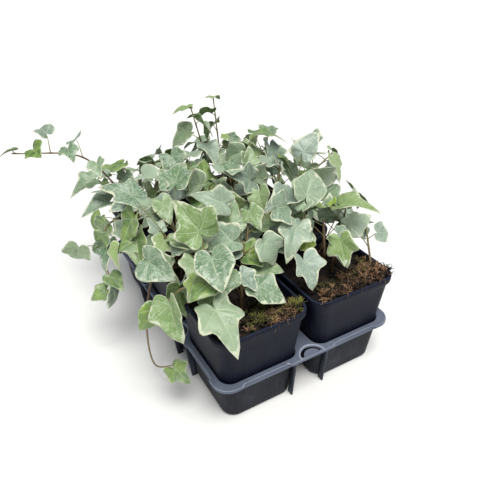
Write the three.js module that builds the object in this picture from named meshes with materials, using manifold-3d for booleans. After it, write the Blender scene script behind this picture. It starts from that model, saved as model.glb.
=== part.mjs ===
// Variegated English ivy, sold as six square nursery pots in one carry tray.
// Millimetres, +Z up. Sizes are worked out in the tray's frame, whose x = 0, y = 0 is the outer corner of
// the front-left cell. At the end the group is moved so that its origin is the middle of its box, at the
// surface that the tray stands on.
import * as THREE from "three";
import { mergeVertices } from "three/addons/utils/BufferGeometryUtils.js";
import Module from "manifold-3d";

const wasm = await Module();
wasm.setup();

// Driving dimensions.
const COLUMNS = 2;
const ROWS = 3;
const PITCH = 93;
const POT = {
  bottom: 1.5, // the tray's floor, which the pot stands on
  top: 97,
  baseHalf: 32.2,
  mouthHalf: 42.2,
  rimHalf: 44,
  rimDepth: 7,
  rimTaper: 0.4, // how much narrower the rim's band is at its foot
  rimCorner: 13.5,
  wall: 1.1,
  floor: 1.5,
  corner: 12,
  innerCorner: 11,
  drain: 6,
};
const TRAY = {
  top: 46,
  skin: 1.6,
  lipDepth: 5,
  lipWall: 1.3,
  edge: 2, // from the cells' outer line to the edge of the wide pads
  recess: 4.4, // from the cells' outer line to the edge between the pads
  corner: 15,
  padDepth: 2.6,
  padCorner: 2,
  cornerPad: 24,
  middlePad: 46,
  padInset: 9,
  wall: 1.2,
  play: 0.6, // between a pocket and its pot
  pocketSink: 0.5, // from the top's face down to where the pockets' shells start
  drain: 15,
  arc: { outer: 13, ridge: 1.6, ridgeHeight: 1.2, gap: 0.4, slit: 3, opening: Math.PI * 0.86 },
  fin: { offset: 17, thick: 1.6, sink: 1, head: [0.6, 7], foot: [1.5, 0.2] },
};
const SOIL = {
  level: 90,
  gap: 0.3,
  cells: 5,
  lumps: { height: 1.6, across: 5.1, back: 4.3, columnTurns: [1.7, -0.9], rowTurns: [1, 1.3] },
  bank: { height: 6.5, at: -0.85, width: 0.3 }, // against the front wall, in the first row
};
const STEM = {
  radius: 1.6,
  sides: 3,
  step: 12,
  buried: 14,
  upright: [4, 10], // how high over the soil it still stands upright
  ring: 19, // how far from its pot's middle it stands at most
  lean: 0.55,
  hole: 4.8,
};
const STALK = { radius: 0.7, foot: 0.9, seat: 0.8 };
const BLADE = { thickness: 0.7, fold: 0.16, droop: 0.14 };

const COLOURS = {
  tray: { color: 0x565b64, roughness: 0.55, metalness: 0 },
  pot: { color: 0x1d1f23, roughness: 0.5, metalness: 0 },
  soil: { color: 0x3a2a1f, roughness: 0.95, metalness: 0 },
  ivy: { color: 0x8fa78a, roughness: 0.5, metalness: 0 },
};

const group = new THREE.Group();

function addNode(name, material, solid) {
  const mesh = new THREE.Mesh(geometryOf(solid), new THREE.MeshStandardMaterial(COLOURS[material]));
  mesh.name = name;
  group.add(mesh);
}

// Solids.

function solidOf(geometry) {
  geometry.deleteAttribute("normal");
  geometry.deleteAttribute("uv");
  const merged = mergeVertices(geometry, 1e-4);
  return new wasm.Manifold(
    new wasm.Mesh({
      numProp: 3,
      vertProperties: new Float32Array(merged.attributes.position.array),
      triVerts: new Uint32Array(merged.index.array),
    }),
  );
}

function geometryOf(solid) {
  const mesh = solid.getMesh();
  return new THREE.BufferGeometry()
    .setAttribute("position", new THREE.BufferAttribute(mesh.vertProperties, 3))
    .setIndex(new THREE.BufferAttribute(mesh.triVerts, 1));
}

const joined = (solids) => solids.reduce((all, one) => all.add(one));

// A rectangle with its corners rounded in a few straight steps.
function roundedShape(halfX, halfY, radius, steps = 3) {
  const points = [];
  for (let corner = 0; corner < 4; corner++) {
    const signX = corner === 0 || corner === 3 ? 1 : -1;
    const signY = corner < 2 ? 1 : -1;
    for (let k = 0; k <= steps; k++) {
      const angle = (corner + k / steps) * (Math.PI / 2);
      const x = signX * (halfX - radius) + radius * Math.cos(angle);
      const y = signY * (halfY - radius) + radius * Math.sin(angle);
      points.push(new THREE.Vector2(x, y));
    }
  }
  return new THREE.Shape(points);
}

function extruded(shape, low, high) {
  const options = { depth: high - low, bevelEnabled: false };
  return new THREE.ExtrudeGeometry(shape, options).translate(0, 0, low);
}

// A rounded square block round (x, y) that widens evenly from one height to another.
function frustum([x, y], low, lowHalf, high, highHalf, radius) {
  const geometry = extruded(roundedShape(highHalf, highHalf, radius), low, high);
  const p = geometry.attributes.position;
  for (let i = 0; i < p.count; i++) {
    const share = (p.getZ(i) - low) / (high - low);
    const scale = (lowHalf + share * (highHalf - lowHalf)) / highHalf;
    p.setXY(i, x + p.getX(i) * scale, y + p.getY(i) * scale);
  }
  return solidOf(geometry);
}

function drainHole([x, y], radius, low, high) {
  const hole = new THREE.CylinderGeometry(radius, radius, high - low, 8).rotateX(Math.PI / 2);
  return solidOf(hole.translate(x, y, (low + high) / 2));
}

const cellCentre = (column, row) => [(column + 0.5) * PITCH, (row + 0.5) * PITCH];

const cells = [];
for (let row = 0; row < ROWS; row++)
  for (let column = 0; column < COLUMNS; column++)
    cells.push({ column, row, centre: cellCentre(column, row), label: `${column + 1}${row + 1}` });

// The half width of a pot's outside at a height, on its straight taper.
function potHalf(z) {
  const share = (z - POT.bottom) / (POT.top - POT.bottom);
  return POT.baseHalf + share * (POT.mouthHalf - POT.baseHalf);
}

// Pots.

function potSolid(centre) {
  const over = POT.top + 1;
  const floorTop = POT.bottom + POT.floor;
  const body = frustum(centre, POT.bottom, potHalf(POT.bottom), POT.top, potHalf(POT.top), POT.corner);
  const bandLow = POT.top - POT.rimDepth;
  const band = frustum(centre, bandLow, POT.rimHalf - POT.rimTaper, POT.top, POT.rimHalf, POT.rimCorner);
  const insideLow = potHalf(floorTop) - POT.wall;
  const inside = frustum(centre, floorTop, insideLow, over, potHalf(over) - POT.wall, POT.innerCorner);
  return body.add(band).subtract(inside).subtract(drainHole(centre, POT.drain, 0, floorTop + 1));
}

// The carry tray.

// The outline of the tray's top, drawn in by an inset from the cells' outer line.
function trayPlate(inset, low, high) {
  const halfX = (COLUMNS * PITCH) / 2 - inset;
  const halfY = (ROWS * PITCH) / 2 - inset;
  const plate = extruded(roundedShape(halfX, halfY, TRAY.corner), low, high);
  return solidOf(plate.translate((COLUMNS * PITCH) / 2, (ROWS * PITCH) / 2, 0));
}

// The places on the tray's edge where two cells meet: the point, and the way out from the tray.
const junctions = [];
for (let column = 1; column < COLUMNS; column++) {
  junctions.push({ x: column * PITCH, y: TRAY.edge, out: -Math.PI / 2 });
  junctions.push({ x: column * PITCH, y: ROWS * PITCH - TRAY.edge, out: Math.PI / 2 });
}
for (let row = 1; row < ROWS; row++) {
  junctions.push({ x: TRAY.edge, y: row * PITCH, out: Math.PI });
  junctions.push({ x: COLUMNS * PITCH - TRAY.edge, y: row * PITCH, out: 0 });
}

// Turns a solid drawn at the origin, with the tray's outside towards -Y, into a junction's place.
const atJunction = (solid, { x, y, out }) =>
  solid.rotate([0, 0, THREE.MathUtils.radToDeg(out) + 90]).translate([x, y, 0]);

function junctionPad() {
  const outline = roundedShape(TRAY.middlePad / 2, TRAY.padInset / 2, TRAY.padCorner);
  const pad = extruded(outline, TRAY.top - TRAY.padDepth, TRAY.top);
  return solidOf(pad.translate(0, TRAY.padInset / 2, 0));
}

function cornerPads() {
  const low = TRAY.top - TRAY.padDepth;
  const frame = trayPlate(TRAY.edge, low, TRAY.top);
  const keep = [];
  for (const x of [0, COLUMNS * PITCH])
    for (const y of [0, ROWS * PITCH]) {
      const block = new THREE.BoxGeometry(2 * TRAY.cornerPad, 2 * TRAY.cornerPad, TRAY.top);
      keep.push(solidOf(block.translate(x, y, TRAY.top)));
    }
  return frame.intersect(joined(keep));
}

function arcPoints(radius, opening, steps = 5) {
  const points = [];
  for (let k = 0; k <= steps; k++) {
    const angle = Math.PI / 2 + opening * (k / steps - 0.5);
    points.push(new THREE.Vector2(radius * Math.cos(angle), radius * Math.sin(angle)));
  }
  return points;
}

function arcBand(inner, outer, opening, low, high) {
  const outline = [...arcPoints(outer, opening), ...arcPoints(inner, opening).reverse()];
  return solidOf(extruded(new THREE.Shape(outline), low, high));
}

// An upright fin that carries the pad down to the foot of a pocket's wall. Its head is measured in from the
// pad's edge and its foot out from the wall.
function fin(side) {
  const { offset, thick, sink, head, foot } = TRAY.fin;
  const wallIn = PITCH / 2 - TRAY.edge - potHalf(0) - TRAY.play;
  const profile = new THREE.Shape([
    new THREE.Vector2(head[0], TRAY.top - sink),
    new THREE.Vector2(wallIn - foot[0], 0),
    new THREE.Vector2(wallIn - foot[1], 0),
    new THREE.Vector2(head[1], TRAY.top - sink),
  ]);
  const options = { depth: thick, bevelEnabled: false };
  const plate = new THREE.ExtrudeGeometry(profile, options).translate(0, 0, -thick / 2);
  const upright = new THREE.Matrix4().makeBasis(
    new THREE.Vector3(0, 1, 0),
    new THREE.Vector3(0, 0, 1),
    new THREE.Vector3(1, 0, 0),
  );
  return solidOf(plate.applyMatrix4(upright).translate(side * offset, 0, 0));
}

function traySolid() {
  const { arc } = TRAY;
  const skinLow = TRAY.top - TRAY.skin;
  const lipLow = TRAY.top - TRAY.lipDepth;
  const under = trayPlate(TRAY.recess + TRAY.lipWall, lipLow - 1, skinLow);
  const pieces = [trayPlate(TRAY.recess, lipLow, TRAY.top).subtract(under), cornerPads()];
  const ridge = arcBand(arc.outer - arc.ridge, arc.outer, Math.PI, TRAY.top - 1, TRAY.top + arc.ridgeHeight);
  const slitOuter = arc.outer - arc.ridge - arc.gap;
  const slit = arcBand(slitOuter - arc.slit, slitOuter, arc.opening, lipLow - 2, TRAY.top + 2);
  for (const place of junctions)
    for (const piece of [junctionPad(), ridge, fin(-1), fin(1)]) pieces.push(atJunction(piece, place));
  for (const { centre } of cells) {
    const shell = TRAY.play + TRAY.wall;
    const high = TRAY.top - TRAY.pocketSink;
    pieces.push(frustum(centre, 0, potHalf(0) + shell, high, potHalf(TRAY.top) + shell, POT.corner));
  }
  const cuts = junctions.map((place) => atJunction(slit, place));
  for (const { centre } of cells) {
    const over = TRAY.top + 3;
    const low = potHalf(POT.bottom) + TRAY.play;
    cuts.push(frustum(centre, POT.bottom, low, over, potHalf(over) + TRAY.play, POT.innerCorner));
    cuts.push(drainHole(centre, TRAY.drain, -1, POT.bottom + 1));
  }
  return joined(pieces).subtract(joined(cuts));
}

// Soil: a plug that fills each pot, with a lumpy top that banks up against the front of the first row.

function soilTop({ column, row }, u, v) {
  const { lumps, bank } = SOIL;
  const [turnX, turnY] = [0, 1].map((k) => lumps.columnTurns[k] * column + lumps.rowTurns[k] * row);
  const lump = Math.sin(lumps.across * u + turnX) * Math.cos(lumps.back * v + turnY);
  const banked = row === 0 ? Math.exp(-(((v - bank.at) / bank.width) ** 2)) : 0;
  return SOIL.level + lumps.height * lump + bank.height * banked;
}

// A point of the unit square drawn in at the corners, so that its edge follows a rounded square.
function roundedPoint(u, v) {
  const pull = 0.165;
  return [u * Math.sqrt(1 - pull * v * v), v * Math.sqrt(1 - pull * u * u)];
}

function soilSolid(cell) {
  const n = SOIL.cells;
  const low = POT.bottom + POT.floor;
  const half = (z) => potHalf(z) - POT.wall - SOIL.gap;
  const [cx, cy] = cell.centre;
  const positions = [];
  const index = [];
  const id = (i, j) => i * (n + 1) + j;
  for (let i = 0; i <= n; i++)
    for (let j = 0; j <= n; j++) {
      const [u, v] = [(2 * i) / n - 1, (2 * j) / n - 1];
      const [a, b] = roundedPoint(u, v);
      const z = soilTop(cell, u, v);
      positions.push(cx + a * half(z), cy + b * half(z), z);
    }
  for (let i = 0; i < n; i++)
    for (let j = 0; j < n; j++) {
      index.push(id(i, j), id(i + 1, j), id(i + 1, j + 1));
      index.push(id(i, j), id(i + 1, j + 1), id(i, j + 1));
    }
  const rim = [];
  for (let k = 0; k < n; k++) rim.push(id(k, 0));
  for (let k = 0; k < n; k++) rim.push(id(n, k));
  for (let k = n; k > 0; k--) rim.push(id(k, n));
  for (let k = n; k > 0; k--) rim.push(id(0, k));
  const base = positions.length / 3;
  for (const top of rim) {
    const scale = half(low) / half(positions[3 * top + 2]);
    positions.push(cx + (positions[3 * top] - cx) * scale, cy + (positions[3 * top + 1] - cy) * scale, low);
  }
  const middle = positions.length / 3;
  positions.push(cx, cy, low);
  rim.forEach((top, k) => {
    const next = (k + 1) % rim.length;
    index.push(top, base + k, base + next);
    index.push(top, base + next, rim[next]);
    index.push(middle, base + next, base + k);
  });
  const plug = solidOf(
    new THREE.BufferGeometry()
      .setAttribute("position", new THREE.Float32BufferAttribute(positions, 3))
      .setIndex(index),
  );
  return plug.subtract(joined(stemHoles(cell)));
}

// Stems and leaves.

// How each leafy stem grows: its pot, its tip in the tray's frame, how many leaves it can bear and how long
// they are, and the heading and pitch in degrees of the leaf at its tip. A hanging stem's leaves point down.
// Its root, the points on its way and how low its leaves start have a rule, unless given here.
const STEMS = [
  { pot: "11", tip: [14, 20, 125], leaves: 1, size: 45, hangs: true, ends: [-79, 60] },
  { pot: "11", tip: [42, 34, 128], leaves: 4, size: 23, ends: [-60, 45], low: 0.7 },
  { pot: "11", tip: [20, 62, 138], leaves: 7, size: 28, ends: [-130, 30] },
  { pot: "11", tip: [60, 62, 142], leaves: 7, size: 26, ends: [-100, 40] },
  { pot: "11", tip: [-21, 62, 102], leaves: 4, size: 29, hangs: true, via: [[2, 54, 122]], ends: [-150, 40] },
  { pot: "11", tip: [78, 84, 150], leaves: 6, size: 26, ends: [-95, 15] },
  { pot: "21", tip: [108, 34, 118], leaves: 1, size: 34, ends: [-80, 55] },
  { pot: "21", tip: [146, 44, 126], leaves: 6, size: 26, ends: [-30, 25] },
  { pot: "21", tip: [168, 62, 140], leaves: 3, size: 22, ends: [60, -50] },
  { pot: "21", tip: [194, 62, 120], leaves: 4, size: 18, root: [174, 29], ends: [0, 10] },
  { pot: "21", tip: [156, 80, 136], leaves: 7, size: 26, ends: [-60, 30] },
  { pot: "21", tip: [122, 66, 142], leaves: 7, size: 26, ends: [-110, 30] },
  { pot: "12", tip: [10, 112, 134], leaves: 7, size: 28, ends: [-150, 35] },
  { pot: "12", tip: [-28, 128, 124], leaves: 6, size: 26, via: [[2, 132, 116]], ends: [-160, 50] },
  { pot: "12", tip: [26, 150, 144], leaves: 7, size: 30, ends: [-100, 30] },
  { pot: "12", tip: [60, 122, 148], leaves: 7, size: 28, ends: [-90, 30] },
  { pot: "12", tip: [76, 156, 150], leaves: 6, size: 28, ends: [-60, 30] },
  {
    pot: "12",
    tip: [-13, 52, 46],
    leaves: 1,
    size: 24,
    hangs: true,
    root: [21, 112],
    via: [[-6, 106, 106], [-22, 98, 66], [-25, 84, 26]],
    ends: [-60, 20],
    low: 0.2,
  },
  { pot: "22", tip: [114, 120, 148], leaves: 7, size: 28, ends: [-100, 35] },
  { pot: "22", tip: [150, 112, 152], leaves: 7, size: 28, ends: [-80, 30] },
  { pot: "22", tip: [182, 128, 146], leaves: 6, size: 26, ends: [-30, 30] },
  { pot: "22", tip: [222, 152, 152], leaves: 6, size: 24, via: [[186, 146, 134]], ends: [-20, 60] },
  { pot: "22", tip: [126, 164, 152], leaves: 7, size: 26, ends: [-110, 30] },
  { pot: "22", tip: [164, 166, 150], leaves: 6, size: 26, ends: [-50, 25] },
  { pot: "13", tip: [18, 210, 138], leaves: 7, size: 26, ends: [-130, 35] },
  {
    pot: "13",
    tip: [-40, 150, 77],
    leaves: 5,
    size: 22,
    hangs: true,
    root: [24, 234],
    via: [[-4, 210, 112], [-28, 174, 120]],
    ends: [180, 27],
  },
  {
    pot: "13",
    tip: [-84, 242, 190],
    leaves: 6,
    size: 19,
    via: [[14, 252, 120], [-20, 252, 168]],
    ends: [180, 10],
  },
  { pot: "13", tip: [50, 236, 148], leaves: 7, size: 26, ends: [-100, 30] },
  { pot: "13", tip: [28, 274, 136], leaves: 8, size: 25, ends: [100, 30] },
  { pot: "13", tip: [76, 206, 150], leaves: 7, size: 26, ends: [-80, 30] },
  { pot: "23", tip: [98, 238, 202], leaves: 4, size: 22, ends: [160, 5] },
  { pot: "23", tip: [128, 244, 206], leaves: 4, size: 21, ends: [40, -20] },
  { pot: "23", tip: [138, 208, 150], leaves: 5, size: 26, ends: [-110, -40] },
  { pot: "23", tip: [174, 206, 152], leaves: 7, size: 26, ends: [-60, 25] },
  { pot: "23", tip: [158, 270, 138], leaves: 8, size: 26, ends: [80, 35] },
  { pot: "23", tip: [192, 240, 136], leaves: 7, size: 26, ends: [0, 40] },
];

// Half of a leaf's outline from its tip round to its notch: the angle from the tip at the place where the
// stalk joins, and how far out the edge is there, in leaf lengths.
const LOBES = [
  { angle: 0, reach: 1 },
  { angle: 34, reach: 0.56 },
  { angle: 60, reach: 0.7 },
  { angle: 122, reach: 0.48 },
  { angle: 180, reach: 0.06 },
];

// Where the light comes from that the leaves turn to.
const LIGHT = new THREE.Vector3(-0.2, -0.36, 0.91).normalize();

const GROWTH = {
  seed: 20,
  tries: 60,
  firstNode: 0.45, // shares of a stem's way
  lastNode: 0.985,
  bladeGap: 3.4,
  rodGap: 3,
  holderGap: 1.6,
  rodStep: 2.2,
  behind: 0.5, // how squarely at least a stalk comes from behind its blade
  blade: { step: 0.065, side: 11, back: 7, front: 16, margin: 0.04 }, // the grid of a leaf's points
};

// How a leaf may grow, as the least and the most of each draw, with angles in radians and lengths in leaf
// lengths.
const HABIT = {
  turn: [0.2, 1.7], // from the stem's lean to the stalk
  rise: [0.2, 1.3],
  stalk: [0.45, 2.05],
  veer: [-0.6, 0.6], // from the stalk to the blade
  size: [0.88, 1.1],
  dip: 0.5,
  scatter: 0.9,
  spread: 0.4, // how much a blade faces outwards
  hanging: { rise: [-0.5, 0.4], stalk: 0.6, dip: 1.1 },
  tip: { turn: [-0.35, 0.35], stalk: [0.2, 0.45], size: 0.72, veer: 0.4, scatter: 0.6 },
};

// What a leaf's place is worth: its room in the light up to a most, and how far it faces the light, against
// a long stalk, lying outside the leafy area and standing off its height.
const WORTH = { room: 30, facing: 8, stalk: 0.1, outside: 1.6, height: 1 };

// The leafy area seen from above, and the height that its leaves stand at.
const CANOPY = {
  left: -14,
  right: 190,
  back: 288,
  front: 22,
  bare: { at: 74, width: 22, depth: 20 }, // where the front pot's soil shows
  cut: { from: 116, slope: 0.8 }, // where the front edge turns back towards the right
  height: 138, // at the front, and how it rises to the back and falls off towards the other edges
  slope: 0.03,
  fall: 26,
  shoulder: 42,
  middle: [93, 150],
};

// A draw of even numbers from 0 to 1 that is the same on each run.
function drawsFrom(seed) {
  let state = seed;
  return () => {
    state = (state * 1664525 + 1013904223) % 4294967296;
    return state / 4294967296;
  };
}

const between = ([least, most], share) => least + share * (most - least);
const vector = ([x, y, z]) => new THREE.Vector3(x, y, z);
const heading = (angle) => new THREE.Vector3(Math.cos(angle), Math.sin(angle), 0);

// The line that a stem follows: up out of its hole, over its given points, to its tip.
function stemLine({ pot, tip, root, via = [] }) {
  const { centre } = cells.find(({ label }) => label === pot);
  const lean = new THREE.Vector2(tip[0] - centre[0], tip[1] - centre[1]);
  lean.setLength(Math.min(STEM.ring, STEM.lean * lean.length()));
  const [x, y] = root ?? [centre[0] + lean.x, centre[1] + lean.y];
  const upright = [-STEM.buried, ...STEM.upright].map((rise) => [x, y, SOIL.level + rise]);
  const points = [...upright, ...via, tip];
  return new THREE.CatmullRomCurve3(points.map(vector), false, "catmullrom", 0.5);
}

// The point a share of the way up a stem, on the straight stretches that it is built of.
function alongStem({ joints }, share) {
  const at = share * (joints.length - 1);
  const k = Math.floor(at);
  return joints[k].clone().lerp(joints[k + 1], at - k);
}

// A leaf's edge at an angle from its tip, in leaf lengths.
function edgeReach(angle) {
  const degrees = Math.abs(THREE.MathUtils.radToDeg(angle));
  const k = LOBES.findIndex((lobe) => lobe.angle >= degrees);
  if (k <= 0) return LOBES[0].reach;
  const [a, b] = [LOBES[k - 1], LOBES[k]];
  return a.reach + ((degrees - a.angle) / (b.angle - a.angle)) * (b.reach - a.reach);
}

// A place on a leaf: across and along are in leaf lengths, from the stalk's end.
function onBlade(leaf, across, along, lift = 0) {
  const rise = BLADE.fold * Math.abs(across) - BLADE.droop * along * along;
  return leaf.place
    .clone()
    .addScaledVector(leaf.across, leaf.size * across)
    .addScaledVector(leaf.along, leaf.size * along)
    .addScaledVector(leaf.face, leaf.size * rise + lift);
}

// Points spread over a leaf, close enough that nothing passes between them.
function bladePoints(leaf) {
  const points = [];
  const { step, side, back, front, margin } = GROWTH.blade;
  for (let i = -side; i <= side; i++)
    for (let j = -back; j <= front; j++) {
      const [across, along] = [i * step, j * step];
      if (Math.hypot(across, along) < edgeReach(Math.atan2(across, along)) + margin)
        points.push(onBlade(leaf, across, along));
    }
  return points;
}

function curvePoints(curve) {
  return curve.getPoints(Math.ceil(curve.getLength() / GROWTH.rodStep));
}

// A set of points with the ball round them, to tell fast which sets are far apart.
function cloudOf(points, stem) {
  const centre = points.reduce((sum, p) => sum.add(p), new THREE.Vector3()).divideScalar(points.length);
  const reach = Math.max(...points.map((p) => p.distanceTo(centre)));
  return { points, centre, reach, stem };
}

function apart(a, b, gap) {
  if (a.centre.distanceTo(b.centre) > a.reach + b.reach + gap) return true;
  const near = b.points.filter((q) => q.distanceTo(a.centre) < a.reach + gap);
  return near.every((q) => a.points.every((p) => p.distanceToSquared(q) > gap * gap));
}

// Whether a point is clear of pots, soil, tray and ground.
function clearOfHolder(point) {
  const gap = GROWTH.holderGap;
  for (const cell of cells) {
    const dx = point.x - cell.centre[0];
    const dy = point.y - cell.centre[1];
    const off = Math.max(Math.abs(dx), Math.abs(dy));
    if (off > POT.rimHalf + gap) continue;
    const mouth = potHalf(POT.top) - POT.wall;
    if (off > mouth - gap) return point.z > POT.top + gap;
    return point.z > soilTop(cell, dx / mouth, dy / mouth) + gap;
  }
  const overTray =
    point.x > -gap && point.x < COLUMNS * PITCH + gap && point.y > -gap && point.y < ROWS * PITCH + gap;
  return point.z > (overTray ? TRAY.top + TRAY.arc.ridgeHeight : 0) + gap;
}

// How badly a point lies: outside the leafy area, or off the height of its leaves.
function offCanopy({ x, y, z }) {
  const { bare, cut } = CANOPY;
  const dent = bare.depth * Math.exp(-(((x - bare.at) / bare.width) ** 2));
  const front = CANOPY.front + dent + cut.slope * Math.max(0, x - cut.from);
  const side = Math.min(x - CANOPY.left, CANOPY.right - x, CANOPY.back - y);
  const out = Math.max(0, -side, front - y);
  const fall = CANOPY.fall * Math.max(0, 1 - side / CANOPY.shoulder) ** 2;
  return WORTH.outside * out + WORTH.height * Math.abs(z - CANOPY.height - CANOPY.slope * y + fall);
}

// One way that a leaf could grow from a place on its stem: its stalk leans out to a side, and its blade
// turns to the light and outwards, or hangs.
function possibleLeaf(stem, from, lean, side, size, draw) {
  const last = side === 0;
  const { hanging, tip } = HABIT;
  const turn = last ? between(tip.turn, draw()) : side * between(HABIT.turn, draw());
  const rise = between(stem.hangs ? hanging.rise : HABIT.rise, draw());
  const reach = between(last ? tip.stalk : HABIT.stalk, draw());
  const length = size * reach * (stem.hangs && !last ? hanging.stalk : 1);
  const way = heading(lean + turn).multiplyScalar(Math.cos(rise));
  way.z = Math.sin(rise);
  const place = from.clone().addScaledVector(way, length);
  const [toward, pitch] = stem.ends.map(THREE.MathUtils.degToRad);
  const ahead = heading(last ? toward + tip.veer * turn : lean + turn + between(HABIT.veer, draw()));
  const dip = last ? pitch : stem.hangs ? hanging.dip : HABIT.dip;
  const along = ahead.clone().multiplyScalar(Math.cos(dip));
  along.z = -Math.sin(dip);
  const face = new THREE.Vector3(draw() - 0.5, draw() - 0.5, draw() - 0.5).multiplyScalar(HABIT.scatter);
  if (last || stem.hangs) {
    const up = ahead.clone().multiplyScalar(Math.sin(dip));
    face.multiplyScalar(tip.scatter).add(up.setZ(Math.cos(dip)));
  } else {
    const out = new THREE.Vector3(place.x - CANOPY.middle[0], place.y - CANOPY.middle[1], 0);
    face.add(LIGHT).addScaledVector(out, HABIT.spread / out.length());
  }
  face.normalize();
  along.projectOnPlane(face).normalize();
  const stalk = new THREE.LineCurve3(from, place);
  return { from, place, stalk, length, size, along, across: along.clone().cross(face), face };
}

// How far a leaf is from the others, seen from where the light comes.
function lightRoom({ centre }, blades) {
  const away = blades.map((other) => centre.clone().sub(other.centre).projectOnPlane(LIGHT).length());
  return Math.min(WORTH.room, ...away);
}

// Grows every leaf in turn. Of a few ways to grow, a leaf takes the one that is clear of what is there
// already and furthest from the other leaves, or it stays away.
function grow() {
  const draw = drawsFrom(GROWTH.seed);
  const stems = STEMS.map((stem) => {
    const line = stemLine(stem);
    const joints = line.getSpacedPoints(Math.ceil(line.getLength() / STEM.step));
    return { ...stem, line, joints, leaves: [], count: stem.leaves };
  });
  const rods = stems.map((stem) => cloudOf(curvePoints(stem.line), stem));
  const blades = [];
  const rounds = Math.max(...stems.map(({ count }) => count));
  for (let round = 0; round < rounds; round++)
    for (const stem of stems.filter(({ count }) => round < count)) {
      const share = GROWTH.lastNode - (round / stem.count) * (1 - (stem.low ?? GROWTH.firstNode));
      const from = alongStem(stem, share);
      const [root, tip] = [stem.joints[0], stem.joints.at(-1)];
      const lean = Math.atan2(tip.y - root.y, tip.x - root.x);
      const side = round === 0 ? 0 : round % 2 ? 1 : -1;
      const size = stem.size * (round === 0 ? HABIT.tip.size : between(HABIT.size, draw()));
      let best = null;
      for (let k = 0; k < GROWTH.tries; k++) {
        const leaf = possibleLeaf(stem, from, lean, side, size, draw);
        const blade = cloudOf(bladePoints(leaf), stem);
        const stalk = cloudOf(curvePoints(leaf.stalk), stem);
        const off = stem.hangs ? 0 : offCanopy(blade.centre);
        const lit = lightRoom(blade, blades) + WORTH.facing * leaf.face.dot(LIGHT);
        const score = lit - off - WORTH.stalk * leaf.length;
        if (best && best.score >= score) continue;
        // The stalk comes from behind the blade and below it.
        const back = leaf.along.clone().add(leaf.face).dot(leaf.place.clone().sub(leaf.from).normalize());
        const clear =
          back > GROWTH.behind &&
          blade.points.every(clearOfHolder) &&
          stalk.points.slice(2).every(clearOfHolder) &&
          blades.every((other) => apart(blade, other, GROWTH.bladeGap)) &&
          blades.every((other) => apart(stalk, other, GROWTH.rodGap)) &&
          rods.every((rod) => rod.stem === stem || apart(blade, rod, GROWTH.rodGap)) &&
          rods.every((rod) => rod.stem === stem || apart(stalk, rod, GROWTH.rodGap));
        if (clear) best = { leaf, blade, stalk, score };
      }
      if (!best) continue;
      blades.push(best.blade);
      rods.push(best.stalk);
      stem.leaves.push(best.leaf);
    }
  return stems;
}

const stems = grow();

// A leaf with its stalk. The blade is a thin slab whose faces fan out from the notch, so that they fold
// along the ribs. The stalk is three-sided and runs from the notch back into the stem.
function leafSolid(leaf) {
  const half = LOBES.slice(0, -1).map(({ angle, reach }) => [THREE.MathUtils.degToRad(angle), reach]);
  const other = half.slice(1).map(([angle, reach]) => [-angle, reach]);
  const edge = [...half.reverse(), ...other];
  const h = BLADE.thickness / 2;
  const foot = STALK.foot / leaf.size;
  const notch = -LOBES.at(-1).reach;
  const points = [onBlade(leaf, 0, notch, h)];
  for (const side of [foot, -foot]) points.push(onBlade(leaf, side, notch + STALK.seat * foot, -h));
  const middle = points.reduce((sum, p) => sum.add(p), new THREE.Vector3()).divideScalar(3);
  const way = leaf.from.clone().sub(middle).normalize();
  for (const p of points.slice(0, 3)) {
    const off = p.clone().sub(middle).projectOnPlane(way).setLength(STALK.radius);
    points.push(leaf.from.clone().add(off));
  }
  for (const lift of [h, -h])
    for (const [angle, reach] of edge)
      points.push(onBlade(leaf, reach * Math.sin(angle), reach * Math.cos(angle), lift));
  const n = edge.length;
  const top = 6;
  const under = top + n;
  const tip = (n - 1) / 2;
  const index = [3, 5, 4, under + tip, 1, 2];
  for (let k = 0; k < 3; k++) {
    const next = (k + 1) % 3;
    index.push(next, k, 3 + k);
    index.push(next, 3 + k, 3 + next);
  }
  for (let k = 0; k < n - 1; k++) {
    index.push(0, top + k, top + k + 1);
    index.push(k < tip ? 1 : 2, under + k + 1, under + k);
    index.push(top + k, under + k, under + k + 1);
    index.push(top + k, under + k + 1, top + k + 1);
  }
  index.push(0, 1, under, 0, under, top);
  index.push(0, top + n - 1, under + n - 1, 0, under + n - 1, 2);
  return solidOf(
    new THREE.BufferGeometry()
      .setAttribute("position", new THREE.Float32BufferAttribute(points.flatMap((p) => p.toArray()), 3))
      .setIndex(index),
  );
}

function rodSolid(curve, radius, sides, steps) {
  const ring = [];
  for (let k = 0; k < sides; k++) {
    const angle = (2 * Math.PI * k) / sides;
    ring.push(new THREE.Vector2(radius * Math.cos(angle), radius * Math.sin(angle)));
  }
  const options = { extrudePath: curve, steps, bevelEnabled: false };
  return solidOf(new THREE.ExtrudeGeometry(new THREE.Shape(ring), options));
}

function stemSolid(stem) {
  const pieces = [rodSolid(stem.line, STEM.radius, STEM.sides, stem.joints.length - 1)];
  for (const leaf of stem.leaves) pieces.push(leafSolid(leaf));
  return joined(pieces);
}

// The plain holes that a pot's stems stand in.
function stemHoles({ label }) {
  const depth = STEM.buried + SOIL.gap;
  const own = stems.filter(({ pot }) => pot === label);
  return own.map(({ line }) => {
    const { x, y } = line.getPoint(0);
    const hole = new THREE.BoxGeometry(STEM.hole, STEM.hole, 2 * depth);
    return solidOf(hole.translate(x, y, SOIL.level));
  });
}

addNode("carry_tray", "tray", traySolid());
for (const cell of cells) {
  addNode(`pot_${cell.label}`, "pot", potSolid(cell.centre));
  addNode(`soil_${cell.label}`, "soil", soilSolid(cell));
}
stems.forEach((stem, k) => {
  const number = 1 + STEMS.slice(0, k).filter(({ pot }) => pot === stem.pot).length;
  addNode(`ivy_stem_${stem.pot}_${number}`, "ivy", stemSolid(stem));
});

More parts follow.
